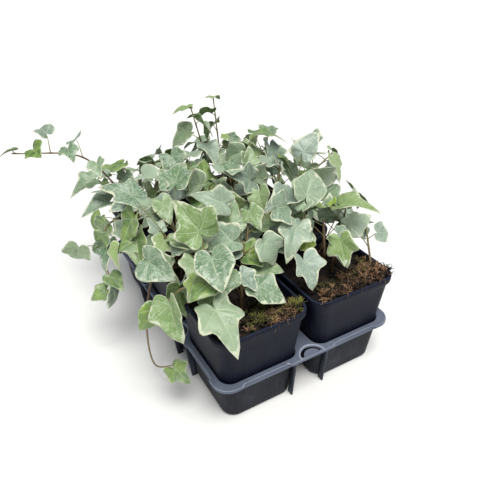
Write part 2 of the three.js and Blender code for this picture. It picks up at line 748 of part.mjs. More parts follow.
// The origin goes to the middle of the whole thing's box, on the surface that the tray stands on.
const box = new THREE.Box3().setFromObject(group);
const middle = box.getCenter(new THREE.Vector3());
group.position.set(-middle.x, -middle.y, -box.min.z);

export default group;
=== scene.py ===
"""Dresses a carry tray of potted variegated English ivy: plastic, soil, moss, stems and leaves.

Sizes of the holder and the plants are in millimetres in the tray's own frame, whose x = 0, y = 0 is the
outer corner of the front-left cell. Meshes are made in metres in the model's frame.
"""

import bmesh
import bpy
import numpy as np
from mathutils import Color, Matrix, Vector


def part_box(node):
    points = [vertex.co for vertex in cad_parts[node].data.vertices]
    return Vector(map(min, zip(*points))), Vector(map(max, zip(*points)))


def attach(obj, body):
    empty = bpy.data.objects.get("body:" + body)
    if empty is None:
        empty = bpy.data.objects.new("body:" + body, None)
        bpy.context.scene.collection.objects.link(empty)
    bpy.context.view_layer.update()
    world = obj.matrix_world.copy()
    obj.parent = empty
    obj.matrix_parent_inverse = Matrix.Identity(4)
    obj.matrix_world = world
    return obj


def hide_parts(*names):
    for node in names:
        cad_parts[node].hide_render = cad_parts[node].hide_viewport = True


bl_info = {
    "name": "Potted Ivy",
    "version": (1, 0, 0),
    "blender": (4, 5, 0),
    "location": "3D View > Sidebar > Potted Ivy",
    "description": "Dresses a carry tray of potted variegated ivy",
    "category": "Add Mesh",
}

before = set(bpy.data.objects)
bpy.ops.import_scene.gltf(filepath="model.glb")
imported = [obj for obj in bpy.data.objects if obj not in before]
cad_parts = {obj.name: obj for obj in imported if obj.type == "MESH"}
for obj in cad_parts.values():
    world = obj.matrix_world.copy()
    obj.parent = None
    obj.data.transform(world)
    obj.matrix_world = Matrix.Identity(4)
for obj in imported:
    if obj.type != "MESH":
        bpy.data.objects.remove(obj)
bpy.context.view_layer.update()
MM = 0.001

# The holder, as the model has it.

PITCH = 93.0
COLUMNS, ROWS = 2, 3
CELLS = [(column, row) for row in range(ROWS) for column in range(COLUMNS)]
POT_BOTTOM, POT_TOP = 1.5, 97.0
POT_BASE_HALF, POT_MOUTH_HALF, POT_RIM_HALF = 32.2, 42.2, 44.0
POT_WALL, POT_FLOOR, POT_CORNER, POT_DRAIN = 1.1, 1.5, 12.0, 6.0
RIM_DEPTH, RIM_CORNER = 7.0, 13.5
TRAY_TOP, TRAY_EDGE, TRAY_RECESS, TRAY_CORNER = 46.0, 2.0, 4.4, 15.0
LIP_DEPTH, PAD_DEPTH, PAD_HALF, PLAY, TRAY_DRAIN = 5.0, 2.6, 23.5, 0.6, 15.0
RIDGE_OUTER, RIDGE_WIDTH, RIDGE_HEIGHT = 13.0, 1.6, 1.2
SLIT_GAP, SLIT_WIDTH, SLIT_OPENING = 0.4, 3.0, 0.86 * np.pi
FIN_OFFSET, FIN_THICK, FIN_HEAD, FIN_FOOT = 17.0, 1.6, (0.6, 7.0), (6.3, 0.2)
SOIL_LEVEL, SOIL_GAP = 90.0, 0.3
LUMP_HEIGHT, LUMP_WAVES, LUMP_COLUMN, LUMP_ROW = 1.6, (5.1, 4.3), (1.7, -0.9), (1.0, 1.3)
BANK_HEIGHT, BANK_AT, BANK_WIDTH = 6.5, -0.85, 0.3

_low, _high = (np.array(corner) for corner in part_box("carry_tray"))
TRAY_MIDDLE = np.array([COLUMNS * PITCH, ROWS * PITCH, 0.0]) / 2
SHIFT = np.array([(_low[0] + _high[0]) / 2, (_low[1] + _high[1]) / 2, _low[2]]) - TRAY_MIDDLE * MM


def to_model(points):
    """Millimetres in the tray's frame to metres in the model's frame."""
    return np.asarray(points) * MM + SHIFT


def centre_of(cell):
    """The middle of a cell: its column and row, each plus a half, times the pitch."""
    return (np.array(cell) + 0.5) * PITCH


def metres_up(z):
    """A height in the tray's frame as metres in the model's frame."""
    return float(to_model((0, 0, z))[2])


def label_of(cell):
    """A cell's two digits in the model's names: its column and its row, counted from one."""
    return f"{cell[0] + 1}{cell[1] + 1}"


def pot_half(z):
    """The half width of a pot's outside at a height, on its straight taper."""
    share = (z - POT_BOTTOM) / (POT_TOP - POT_BOTTOM)
    return POT_BASE_HALF + share * (POT_MOUTH_HALF - POT_BASE_HALF)


SOIL_HALF = pot_half(SOIL_LEVEL) - POT_WALL - SOIL_GAP


def soil_top(column, row, u, v):
    """The soil's height: a sine wave across times a cosine wave to the back, whose phases differ from pot
    to pot, and in the first row a bell-shaped bank against the front wall. u and v run from -1 to 1."""
    turn_x, turn_y = (LUMP_COLUMN[k] * column + LUMP_ROW[k] * row for k in (0, 1))
    lump = np.sin(LUMP_WAVES[0] * u + turn_x) * np.cos(LUMP_WAVES[1] * v + turn_y)
    banked = np.where(row == 0, np.exp(-(((v - BANK_AT) / BANK_WIDTH) ** 2)), 0.0)
    return SOIL_LEVEL + LUMP_HEIGHT * lump + BANK_HEIGHT * banked


# How the plants grow, as the model has it. Each leafy stem has its pot, its tip, how many leaves it can
# bear, how long they are, and the heading and pitch in degrees of the leaf at its tip. A hanging stem's
# leaves point down. Its root, the points on its way and how low its leaves start have a rule, unless given
# here.

STEM_KEYS = ("pot", "tip", "leaves", "size", "ends")
STEM_ROWS = [
    ("11", (14, 20, 125), 1, 45, (-79, 60), {"hangs": True}),
    ("11", (42, 34, 128), 4, 23, (-60, 45), {"low": 0.7}),
    ("11", (20, 62, 138), 7, 28, (-130, 30)),
    ("11", (60, 62, 142), 7, 26, (-100, 40)),
    ("11", (-21, 62, 102), 4, 29, (-150, 40), {"hangs": True, "via": [(2, 54, 122)]}),
    ("11", (78, 84, 150), 6, 26, (-95, 15)),
    ("21", (108, 34, 118), 1, 34, (-80, 55)),
    ("21", (146, 44, 126), 6, 26, (-30, 25)),
    ("21", (168, 62, 140), 3, 22, (60, -50)),
    ("21", (194, 62, 120), 4, 18, (0, 10), {"root": (174, 29)}),
    ("21", (156, 80, 136), 7, 26, (-60, 30)),
    ("21", (122, 66, 142), 7, 26, (-110, 30)),
    ("12", (10, 112, 134), 7, 28, (-150, 35)),
    ("12", (-28, 128, 124), 6, 26, (-160, 50), {"via": [(2, 132, 116)]}),
    ("12", (26, 150, 144), 7, 30, (-100, 30)),
    ("12", (60, 122, 148), 7, 28, (-90, 30)),
    ("12", (76, 156, 150), 6, 28, (-60, 30)),
    ("12", (-13, 52, 46), 1, 24, (-60, 20),
     {"hangs": True, "root": (21, 112), "via": [(-6, 106, 106), (-22, 98, 66), (-25, 84, 26)], "low": 0.2}),
    ("22", (114, 120, 148), 7, 28, (-100, 35)),
    ("22", (150, 112, 152), 7, 28, (-80, 30)),
    ("22", (182, 128, 146), 6, 26, (-30, 30)),
    ("22", (222, 152, 152), 6, 24, (-20, 60), {"via": [(186, 146, 134)]}),
    ("22", (126, 164, 152), 7, 26, (-110, 30)),
    ("22", (164, 166, 150), 6, 26, (-50, 25)),
    ("13", (18, 210, 138), 7, 26, (-130, 35)),
    ("13", (-40, 150, 77), 5, 22, (180, 27),
     {"hangs": True, "root": (24, 234), "via": [(-4, 210, 112), (-28, 174, 120)]}),
    ("13", (-84, 242, 190), 6, 19, (180, 10), {"via": [(14, 252, 120), (-20, 252, 168)]}),
    ("13", (50, 236, 148), 7, 26, (-100, 30)),
    ("13", (28, 274, 136), 8, 25, (100, 30)),
    ("13", (76, 206, 150), 7, 26, (-80, 30)),
    ("23", (98, 238, 202), 4, 22, (160, 5)),
    ("23", (128, 244, 206), 4, 21, (40, -20)),
    ("23", (138, 208, 150), 5, 26, (-110, -40)),
    ("23", (174, 206, 152), 7, 26, (-60, 25)),
    ("23", (158, 270, 138), 8, 26, (80, 35)),
    ("23", (192, 240, 136), 7, 26, (0, 40)),
]
STEMS = [dict(zip(STEM_KEYS, row)) | dict(*row[len(STEM_KEYS) :]) for row in STEM_ROWS]
STEM_STEP, STEM_BURIED, STEM_UPRIGHT, STEM_RING, STEM_LEAN = 12.0, 14.0, (4.0, 10.0), 19.0, 0.55
FOLD, DROOP = 0.16, 0.14
LOBE_ANGLES = (0, 34, 60, 122, 180)
LOBE_REACHES = (1, 0.56, 0.7, 0.48, 0.06)
LIGHT = np.array([-0.2, -0.36, 0.91]) / np.linalg.norm([-0.2, -0.36, 0.91])
SEED, TRIES, FIRST_NODE, LAST_NODE = 20, 60, 0.45, 0.985
BLADE_GAP, ROD_GAP, HOLDER_GAP, ROD_STEP, BEHIND = 3.4, 3.0, 1.6, 2.2, 0.5
GRID_STEP, GRID_SIDE, GRID_BACK, GRID_FRONT, GRID_MARGIN = 0.065, 11, 7, 16, 0.04
HABIT = {
    "turn": (0.2, 1.7), "rise": (0.2, 1.3), "stalk": (0.45, 2.05), "veer": (-0.6, 0.6), "size": (0.88, 1.1)
}
DIP, SCATTER, SPREAD = 0.5, 0.9, 0.4
HANGING = {"rise": (-0.5, 0.4), "stalk": 0.6, "dip": 1.1}
AT_TIP = {"turn": (-0.35, 0.35), "stalk": (0.2, 0.45), "size": 0.72, "veer": 0.4, "scatter": 0.6}
WORTH = {"room": 30.0, "facing": 8.0, "stalk": 0.1, "outside": 1.6, "height": 1.0}
CANOPY_LEFT, CANOPY_RIGHT, CANOPY_BACK, CANOPY_FRONT = -14.0, 190.0, 288.0, 22.0
BARE_AT, BARE_WIDTH, BARE_DEPTH, CUT_FROM, CUT_SLOPE = 74.0, 22.0, 20.0, 116.0, 0.8
CANOPY_HEIGHT, CANOPY_SLOPE, CANOPY_FALL, CANOPY_SHOULDER = 138.0, 0.03, 26.0, 42.0
CANOPY_MIDDLE = np.array([93.0, 150.0, 0.0])
CURVE_STEPS, DRAWS_AT_TIP, DRAWS_AT_SIDE = 200, 6, 7
FILLER_SHARES, FILLER_SIZES, FILLER_TRIES = (0.98, 0.25), (0.45, 0.9), 24
FILLER_GAP, FILLER_STRAY = 1.5, 16.0
DRAW_FACTOR, DRAW_STEP = 1664525, 1013904223


def draws_from(seed):
    """Evenly spread numbers from 0 to 1: a state is a multiple of the last plus a number, modulo 2**32."""
    state = seed
    while True:
        state = (state * DRAW_FACTOR + DRAW_STEP) % 2**32
        yield state / 2**32


def between(ends, share):
    """The number a share of the way from one end to the other."""
    return ends[0] + share * (ends[1] - ends[0])


def unit(vectors):
    """Vectors divided by their lengths."""
    return vectors / np.linalg.norm(vectors, axis=-1, keepdims=True)


def heading(angle, z=0.0):
    """The level way at an angle, with z added as its height."""
    angle = np.asarray(angle, float)
    return np.stack([np.cos(angle), np.sin(angle), np.zeros_like(angle) + z], axis=-1)


def curve_at(points, t):
    """A smooth curve over points at shares t of its stretches: on each stretch the cubic whose slope at
    each end is half the step between that point's neighbours, which are mirrored past the curve's ends."""
    p = np.vstack([2 * points[0] - points[1], points, 2 * points[-1] - points[-2]])
    at = np.asarray(t) * (len(points) - 1)
    k = np.minimum(at.astype(int), len(points) - 2)
    w = (at - k)[:, None]
    a, b, c, d = p[k], p[k + 1], p[k + 2], p[k + 3]
    slope_b, slope_c = 0.5 * (c - a), 0.5 * (d - b)
    squared, cubed = 3 * (c - b) - 2 * slope_b - slope_c, 2 * (b - c) + slope_b + slope_c
    return b + slope_b * w + squared * w**2 + cubed * w**3


def lengths_along(points):
    """How far along a smooth curve its points at even shares are."""
    line = curve_at(points, np.linspace(0, 1, CURVE_STEPS + 1))
    return np.concatenate([[0], np.cumsum(np.linalg.norm(np.diff(line, axis=0), axis=1))])


def spaced_along(points, count):
    """Points at even distances along the smooth curve over points."""
    lengths = lengths_along(points)
    t = np.interp(np.linspace(0, lengths[-1], count + 1), lengths, np.linspace(0, 1, len(lengths)))
    return curve_at(points, t)


def stem_way(stem):
    """The points that a stem goes over: up out of its hole, over its given points, to its tip."""
    centre = centre_of((int(stem["pot"][0]) - 1, int(stem["pot"][1]) - 1))
    lean = np.array(stem["tip"][:2]) - centre
    far = np.linalg.norm(lean)
    root = stem.get("root", centre + lean / far * min(STEM_RING, STEM_LEAN * far))
    upright = [(*root, SOIL_LEVEL + rise) for rise in (-STEM_BURIED, *STEM_UPRIGHT)]
    return np.array([*upright, *stem.get("via", []), stem["tip"]], float)


def sample_grid():
    """Points over a plain leaf, as across, along and rise in leaf lengths from the stalk's end. The rise is
    a straight fold up from the midrib and a droop with the square of the way along."""
    i = np.arange(-GRID_SIDE, GRID_SIDE + 1) * GRID_STEP
    j = np.arange(-GRID_BACK, GRID_FRONT + 1) * GRID_STEP
    across, along = (a.ravel() for a in np.meshgrid(i, j, indexing="ij"))
    angle = np.degrees(np.arctan2(np.abs(across), along))
    inside = np.hypot(across, along) < np.interp(angle, LOBE_ANGLES, LOBE_REACHES) + GRID_MARGIN
    across, along = across[inside], along[inside]
    return np.stack([across, along, FOLD * np.abs(across) - DROOP * along**2], axis=1)


def clear_of_holder(points):
    """Whether all points are clear of pots, soil, tray and ground."""
    x, y, z = points.T
    cell = np.clip((points[:, :2] / PITCH).astype(int), 0, (COLUMNS - 1, ROWS - 1))
    off = points[:, :2] - (cell + 0.5) * PITCH
    far = np.abs(off).max(axis=1)
    mouth = pot_half(POT_TOP) - POT_WALL
    soil = soil_top(cell[:, 0], cell[:, 1], off[:, 0] / mouth, off[:, 1] / mouth)
    in_x = (x > -HOLDER_GAP) & (x < COLUMNS * PITCH + HOLDER_GAP)
    in_y = (y > -HOLDER_GAP) & (y < ROWS * PITCH + HOLDER_GAP)
    floor = np.where(in_x & in_y, TRAY_TOP + RIDGE_HEIGHT, 0.0)
    on_pot = np.where(far > mouth - HOLDER_GAP, POT_TOP, soil)
    floor = np.where(far <= POT_RIM_HALF + HOLDER_GAP, on_pot, floor)
    return bool((z > floor + HOLDER_GAP).all())


def within_box(points, low, high):
    """Those of the points that lie inside an upright box."""
    return points[((points > low) & (points < high)).all(axis=1)]


def apart(points, others, gap):
    """Whether no point comes as near as gap to any of the others."""
    near = within_box(others, points.min(axis=0) - gap, points.max(axis=0) + gap)
    if not len(near):
        return True
    middle = points.mean(axis=0)
    points, near = points - middle, near - middle
    squares = (points**2).sum(axis=1)[:, None] + (near**2).sum(axis=1) - 2 * points @ near.T
    return bool(squares.min() > gap * gap)


def off_canopy(points):
    """How badly points lie: outside the leafy area, or off the height of its leaves."""
    x, y, z = points.T
    dent = BARE_DEPTH * np.exp(-(((x - BARE_AT) / BARE_WIDTH) ** 2))
    front = CANOPY_FRONT + dent + CUT_SLOPE * np.maximum(0, x - CUT_FROM)
    side = np.minimum(np.minimum(x - CANOPY_LEFT, CANOPY_RIGHT - x), CANOPY_BACK - y)
    out = np.maximum(0, np.maximum(-side, front - y))
    fall = CANOPY_FALL * np.maximum(0, 1 - side / CANOPY_SHOULDER) ** 2
    return WORTH["outside"] * out + WORTH["height"] * np.abs(z - CANOPY_HEIGHT - CANOPY_SLOPE * y + fall)


def possible_leaves(stem, start, lean, side, size, draws):
    """The ways that a leaf could grow from a place on its stem, one to each row of draws: its stalk leans
    out to a side, and its blade turns to the light and outwards, or hangs."""
    last, hangs = side == 0, stem.get("hangs", False)
    d = draws.T
    turn = between(AT_TIP["turn"], d[0]) if last else side * between(HABIT["turn"], d[0])
    rise = between(HANGING["rise"] if hangs else HABIT["rise"], d[1])
    reach = between(AT_TIP["stalk"] if last else HABIT["stalk"], d[2])
    length = size * reach * (HANGING["stalk"] if hangs and not last else 1)
    way = heading(lean + turn) * np.cos(rise)[:, None]
    way[:, 2] = np.sin(rise)
    place = start + way * length[:, None]
    toward, pitch = np.radians(stem["ends"])
    ahead = heading(toward + AT_TIP["veer"] * turn if last else lean + turn + between(HABIT["veer"], d[3]))
    dip = pitch if last else HANGING["dip"] if hangs else DIP
    along = ahead * np.cos(dip)
    along[:, 2] = -np.sin(dip)
    face = (draws[:, -3:] - 0.5) * SCATTER
    if last or hangs:
        up = ahead * np.sin(dip)
        up[:, 2] = np.cos(dip)
        face = face * AT_TIP["scatter"] + up
    else:
        out = place - CANOPY_MIDDLE
        out[:, 2] = 0
        face = face + LIGHT + SPREAD * unit(out)
    face = unit(face)
    along = unit(along - face * (along * face).sum(axis=1)[:, None])
    return place, along, np.cross(along, face), face, length


class Thicket:
    """What has grown so far, as points: the blades, and the rods, which are stems and stalks."""

    def __init__(self, ways):
        counts = [int(np.ceil(lengths_along(way)[-1] / ROD_STEP)) + 1 for way in ways]
        self.rods = np.vstack([curve_at(way, np.linspace(0, 1, n)) for way, n in zip(ways, counts)])
        self.rod_stem = np.repeat(np.arange(len(ways)), counts)
        self.blades = np.zeros((0, 3))
        self.middles = np.zeros((0, 3))

    def light_room(self, middles):
        """How far each middle is from those of the blades, seen from where the light comes, up to a most."""
        room = np.full(len(middles), WORTH["room"])
        if len(self.middles):
            away = middles[:, None] - self.middles
            away = away - (away @ LIGHT)[..., None] * LIGHT
            room = np.minimum(room, np.linalg.norm(away, axis=2).min(axis=1))
        return room

    def add(self, number, blade, middle, stalk):
        """Adds a leaf of one of the stems: its blade's points and middle, and its stalk's points."""
        self.blades = np.vstack([self.blades, blade])
        self.middles = np.vstack([self.middles, middle])
        self.rods = np.vstack([self.rods, stalk])
        self.rod_stem = np.concatenate([self.rod_stem, np.full(len(stalk), number)])

    def best_leaf(self, number, stem, start, lean, side, size, draws, grid, blade_gap, rod_gap, stray):
        """Of the possible leaves, the one that is worth most and clear of what is there already, or None. A
        leaf that lies worse than stray isn't taken."""
        place, along, across, face, length = possible_leaves(stem, start, lean, side, size, draws)
        turned = np.einsum("gi,nij->ngj", grid, np.stack([across, along, face], axis=1))
        clouds = place[:, None] + size * turned
        middles = clouds.mean(axis=1)
        off = 0 if stem.get("hangs") else off_canopy(middles)
        worth = self.light_room(middles) + WORTH["facing"] * (face @ LIGHT) - off - WORTH["stalk"] * length
        back = ((along + face) * unit(place - start)).sum(axis=1)
        low = np.minimum(clouds.min(axis=(0, 1)), start) - BLADE_GAP
        high = np.maximum(clouds.max(axis=(0, 1)), start) + BLADE_GAP
        blades = within_box(self.blades, low, high)
        rods = within_box(self.rods[self.rod_stem != number], low, high)
        for k in np.argsort(-worth, kind="stable"):
            if back[k] <= BEHIND or off_canopy(middles[k : k + 1])[0] > stray:
                continue
            steps = int(np.ceil(np.linalg.norm(place[k] - start) / ROD_STEP))
            stalk = start + np.linspace(0, 1, steps + 1)[:, None] * (place[k] - start)
            clear = clear_of_holder(clouds[k]) and clear_of_holder(stalk[2:])
            clear = clear and apart(stalk, blades, rod_gap) and apart(stalk, rods, rod_gap)
            if clear and apart(clouds[k], rods, rod_gap) and apart(clouds[k], blades, blade_gap):
                self.add(number, clouds[k], middles[k], stalk)
                leaf = {"start": start, "place": place[k], "along": along[k], "across": across[k]}
                return leaf | {"face": face[k], "size": size}
        return None


def along_joints(joints, share):
    """The point a share of the way over the straight stretches between joints."""
    at = share * (len(joints) - 1)
    k = int(at)
    return joints[k] + (at - k) * (joints[k + 1] - joints[k])


def grow_plants(filler_rounds):
    """Grows the model's leaves by the model's own rule, and then smaller leaves between them, a few to each
    stem. Each stem gets its way and its leaves, and a leaf says how far up its stem it grows. A smaller
    leaf has four draws before those for its blade, of which the last isn't used."""
    draw = draws_from(SEED)
    grid = sample_grid()
    ways = [stem_way(stem) for stem in STEMS]
    thicket = Thicket(ways)
    joints = [spaced_along(way, int(np.ceil(lengths_along(way)[-1] / STEM_STEP))) for way in ways]
    leans = [np.arctan2(*(joint[-1] - joint[0])[1::-1]) for joint in joints]
    leaves = [[] for _ in STEMS]

    def try_leaf(number, share, side, size, tries, gaps):
        """Draws the ways a leaf could grow at one place of a stem, and adds the best, if any is clear."""
        wide = DRAWS_AT_TIP if side == 0 else DRAWS_AT_SIDE
        draws = np.array([next(draw) for _ in range(tries * wide)]).reshape(-1, wide)
        start = along_joints(joints[number], share)
        stem, lean = STEMS[number], leans[number]
        leaf = thicket.best_leaf(number, stem, start, lean, side, size, draws, grid, *gaps)
        if leaf:
            leaves[number].append(leaf | {"share": share})

    for turn in range(max(stem["leaves"] for stem in STEMS)):
        for number, stem in enumerate(STEMS):
            if turn < stem["leaves"]:
                share = LAST_NODE - (turn / stem["leaves"]) * (1 - stem.get("low", FIRST_NODE))
                side = 0 if turn == 0 else 1 if turn % 2 else -1
                size = stem["size"] * (AT_TIP["size"] if turn == 0 else between(HABIT["size"], next(draw)))
                try_leaf(number, share, side, size, TRIES, (BLADE_GAP, ROD_GAP, np.inf))
    for turn in range(filler_rounds):
        for number, stem in enumerate(STEMS):
            if stem["leaves"] <= 1:
                continue
            share = between(FILLER_SHARES, (turn + next(draw)) / filler_rounds)
            size = stem["size"] * between(FILLER_SIZES, next(draw))
            side = 1 if next(draw) < 0.5 else -1
            stray = np.inf if stem.get("hangs") else FILLER_STRAY
            next(draw)
            try_leaf(number, share, side, size, FILLER_TRIES, (FILLER_GAP, FILLER_GAP, stray))
    return [{"way": way, "lean": lean, "leaves": own} for way, lean, own in zip(ways, leans, leaves)]


# Meshes.


def grid_faces(rows, columns):
    """The four-cornered faces of a grid of points kept row by row, whose last column joins the first."""
    row, column = np.meshgrid(np.arange(rows - 1), np.arange(columns), indexing="ij")
    after = (column + 1) % columns
    corners = [row * columns + column, row * columns + after, (row + 1) * columns + after]
    return np.stack([*corners, (row + 1) * columns + column], axis=-1).reshape(-1, 4)


def bar_faces(rings, sides):
    """The faces of a closed bar whose points are kept ring by ring: its wall, its foot and its head."""
    ends = np.arange(sides)[None, ::-1], (rings - 1) * sides + np.arange(sides)[None]
    return [grid_faces(rings, sides), *ends]


def fan_faces(middle, ring, flip=False):
    """The three-cornered faces from a middle point to a closed ring of points."""
    faces = np.stack([np.full(len(ring), middle), np.roll(ring, -1), ring], axis=1)
    return faces[:, ::-1] if flip else faces


def repeat_faces(faces, count, step):
    """The faces of a shape, repeated for copies whose points follow each other."""
    return (faces[None] + step * np.arange(count)[:, None, None]).reshape(-1, faces.shape[1])


def merge_shapes(shapes):
    """Several shapes, each its points and a list of face arrays, as one."""
    points, faces, base = [], [], 0
    for shape_points, shape_faces in shapes:
        points.append(shape_points)
        faces += [face + base for face in shape_faces]
        base += len(shape_points)
    return np.vstack(points), faces


def make_mesh(name, points, faces, numbers=None):
    """A smooth mesh from points in the tray's millimetres and arrays of faces, one array to a corner count.
    Numbers has one array of numbers for the points to each name."""
    mesh = bpy.data.meshes.new(name)
    corners = np.concatenate([face.ravel() for face in faces]).astype(np.int32)
    sizes = np.concatenate([np.full(len(face), face.shape[1]) for face in faces])
    mesh.vertices.add(len(points))
    mesh.vertices.foreach_set("co", to_model(points).astype(np.float32).ravel())
    mesh.loops.add(len(corners))
    mesh.loops.foreach_set("vertex_index", corners)
    mesh.polygons.add(len(sizes))
    mesh.polygons.foreach_set("loop_start", (np.cumsum(sizes) - sizes).astype(np.int32))
    mesh.update(calc_edges=True)
    mesh.shade_smooth()
    for key, values in (numbers or {}).items():
        mesh.attributes.new(key, "FLOAT", "POINT").data.foreach_set("value", np.asarray(values, np.float32))
    return mesh


def set_uv(mesh, name, uv):
    """Writes a UV map from one pair of numbers to each point of a mesh."""
    corners = np.zeros(len(mesh.loops), np.int32)
    mesh.loops.foreach_get("vertex_index", corners)
    mesh.uv_layers.new(name=name).data.foreach_set("uv", uv[corners].astype(np.float32).ravel())


def add_object(name, data):
    """A new object in the scene."""
    thing = bpy.data.objects.new(name, data)
    bpy.context.scene.collection.objects.link(thing)
    return thing


def place_piece(name, mesh, material, slot, *nodes):
    """Adds a finished mesh as a piece of the object, in place of the model's nodes."""
    piece = add_object(name, mesh)
    mesh.materials.clear()
    mesh.materials.append(material)
    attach(piece, "root")
    if nodes:
        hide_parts(*nodes)


def with_modifier(mesh, kind, **settings):
    """A mesh with a modifier applied."""
    holder = add_object("modified", mesh)
    modifier = holder.modifiers.new(kind.lower(), kind)
    for key, value in settings.items():
        setattr(modifier, key, value)
    bpy.context.view_layer.update()
    done = bpy.data.meshes.new_from_object(holder.evaluated_get(bpy.context.evaluated_depsgraph_get()))
    bpy.data.objects.remove(holder)
    return done


def weld(mesh, distance):
    """Merges the points of a mesh that lie within a distance, and drops the faces that this flattens."""
    work = bmesh.new()
    work.from_mesh(mesh)
    bmesh.ops.remove_doubles(work, verts=work.verts, dist=distance)
    bmesh.ops.dissolve_degenerate(work, edges=work.edges, dist=distance)
    work.to_mesh(mesh)
    work.free()


def square_ring(half, corner, side_steps, corner_steps):
    """Points round rounded squares, one row for each half width: four times a straight side and then a
    quarter circle. The first side is at +x and the ring runs counter-clockwise."""
    half, corner = (np.asarray(a, float)[:, None] for a in (half, corner))
    run = np.linspace(-1, 1, side_steps, endpoint=False)
    turn = np.linspace(0, np.pi / 2, corner_steps, endpoint=False)
    flat = half - corner
    x = np.hstack([half + 0 * run, flat + corner * np.cos(turn)])
    y = np.hstack([flat * run, flat + corner * np.sin(turn)])
    quarters = [(x, y), (-y, x), (-x, -y), (y, -x)]
    return np.stack([np.hstack([q[k] for q in quarters]) for k in (0, 1)], axis=-1)


def raised(flat, z):
    """Rows of flat points as one list of points at heights z."""
    z = np.broadcast_to(np.asarray(z, float)[..., None], (*flat.shape[:-1], 1))
    return np.concatenate([flat, z], axis=-1).reshape(-1, 3)


def carried_square(centre, profile, side_steps, corner_steps):
    """A profile of half width, corner radius and height, carried round a rounded square, and how many points
    there are to a ring."""
    half, corner, z = np.array(profile, float).T
    ring = square_ring(half, corner, side_steps, corner_steps) + centre
    return raised(ring, z[:, None]), ring.shape[1]


# Large odd numbers that scatter the bits of a place, kept to 32 of them by the word.
PLACE_FACTORS, SEED_FACTOR = np.array([73856093, 19349663, 83492791]), 2654435761
MIXING_FACTORS, WORD = (2246822519, 3266489917), 2**32 - 1


def lattice_noise(points, seed):
    """Smooth numbers from 0 to 1: a number is drawn for each whole-numbered place, and between places the
    eight round a point are mixed by smooth steps in each direction."""
    cell = np.floor(points).astype(np.int64)
    part = points - cell
    part = part * part * (3 - 2 * part)
    total = np.zeros(len(points))
    for corner in np.ndindex(2, 2, 2):
        at = cell + corner
        mixed = np.bitwise_xor.reduce(at * PLACE_FACTORS, axis=1) ^ (seed * SEED_FACTOR)
        mixed = (mixed & WORD) * MIXING_FACTORS[0] & WORD
        mixed = (mixed ^ (mixed >> 15)) * MIXING_FACTORS[1] & WORD
        value = (mixed ^ (mixed >> 16)) / 2**32
        total += value * np.prod(np.where(corner, part, 1 - part), axis=1)
    return total


def tubes(paths, radii, sides, aside):
    """Closed tubes along many paths of equal point counts: round each point a ring in the plane across the
    path, starting from the direction aside. Radii is one number to each point of each path."""
    way = unit(np.gradient(paths, axis=1))
    first = unit(aside[:, None] - way * (way * aside[:, None]).sum(axis=-1, keepdims=True))
    second = np.cross(way, first)
    angle = 2 * np.pi * np.arange(sides) / sides
    ring = first[:, :, None] * np.cos(angle)[:, None] + second[:, :, None] * np.sin(angle)[:, None]
    points = paths[:, :, None] + radii[..., None, None] * ring
    count, rings = paths.shape[:2]
    faces = [repeat_faces(face, count, rings * sides) for face in bar_faces(rings, sides)]
    return points.reshape(-1, 3), faces


# Materials.


def maths(operation, swapped=False):
    """A method that adds a maths node for its object and what it is given, in this order or swapped."""

    def add_node(self, *others):
        values = (*others, self) if swapped else (self, *others)
        return self.finish.add("ShaderNodeMath", {"operation": operation}, *values)

    return add_node


class Number:
    """A number or a vector that nodes work out. Maths on it, written as Python, adds the nodes for it.
    Fraction is what is left over whole numbers, and turn_to gives the angle of the direction (other, this)
    from the one that other runs along."""

    def __init__(self, finish, socket):
        self.finish, self.socket = finish, socket

    __add__ = __radd__ = maths("ADD")
    __mul__ = __rmul__ = maths("MULTIPLY")
    __sub__, __rsub__ = maths("SUBTRACT"), maths("SUBTRACT", swapped=True)
    __truediv__, __abs__ = maths("DIVIDE"), maths("ABSOLUTE")
    top, least, power = maths("MAXIMUM"), maths("MINIMUM"), maths("POWER")
    fraction, turn_to = maths("FRACT"), maths("ARCTAN2")

    def step(self, low, high):
        """Rises smoothly from 0 at low to 1 at high, or falls where high is the lower."""
        ends = (low, high, 0.0, 1.0) if low <= high else (high, low, 1.0, 0.0)
        names = ("From Min", "From Max", "To Min", "To Max")
        settings = {"interpolation_type": "SMOOTHSTEP"}
        return self.finish.add("ShaderNodeMapRange", settings, Value=self, **dict(zip(names, ends)))


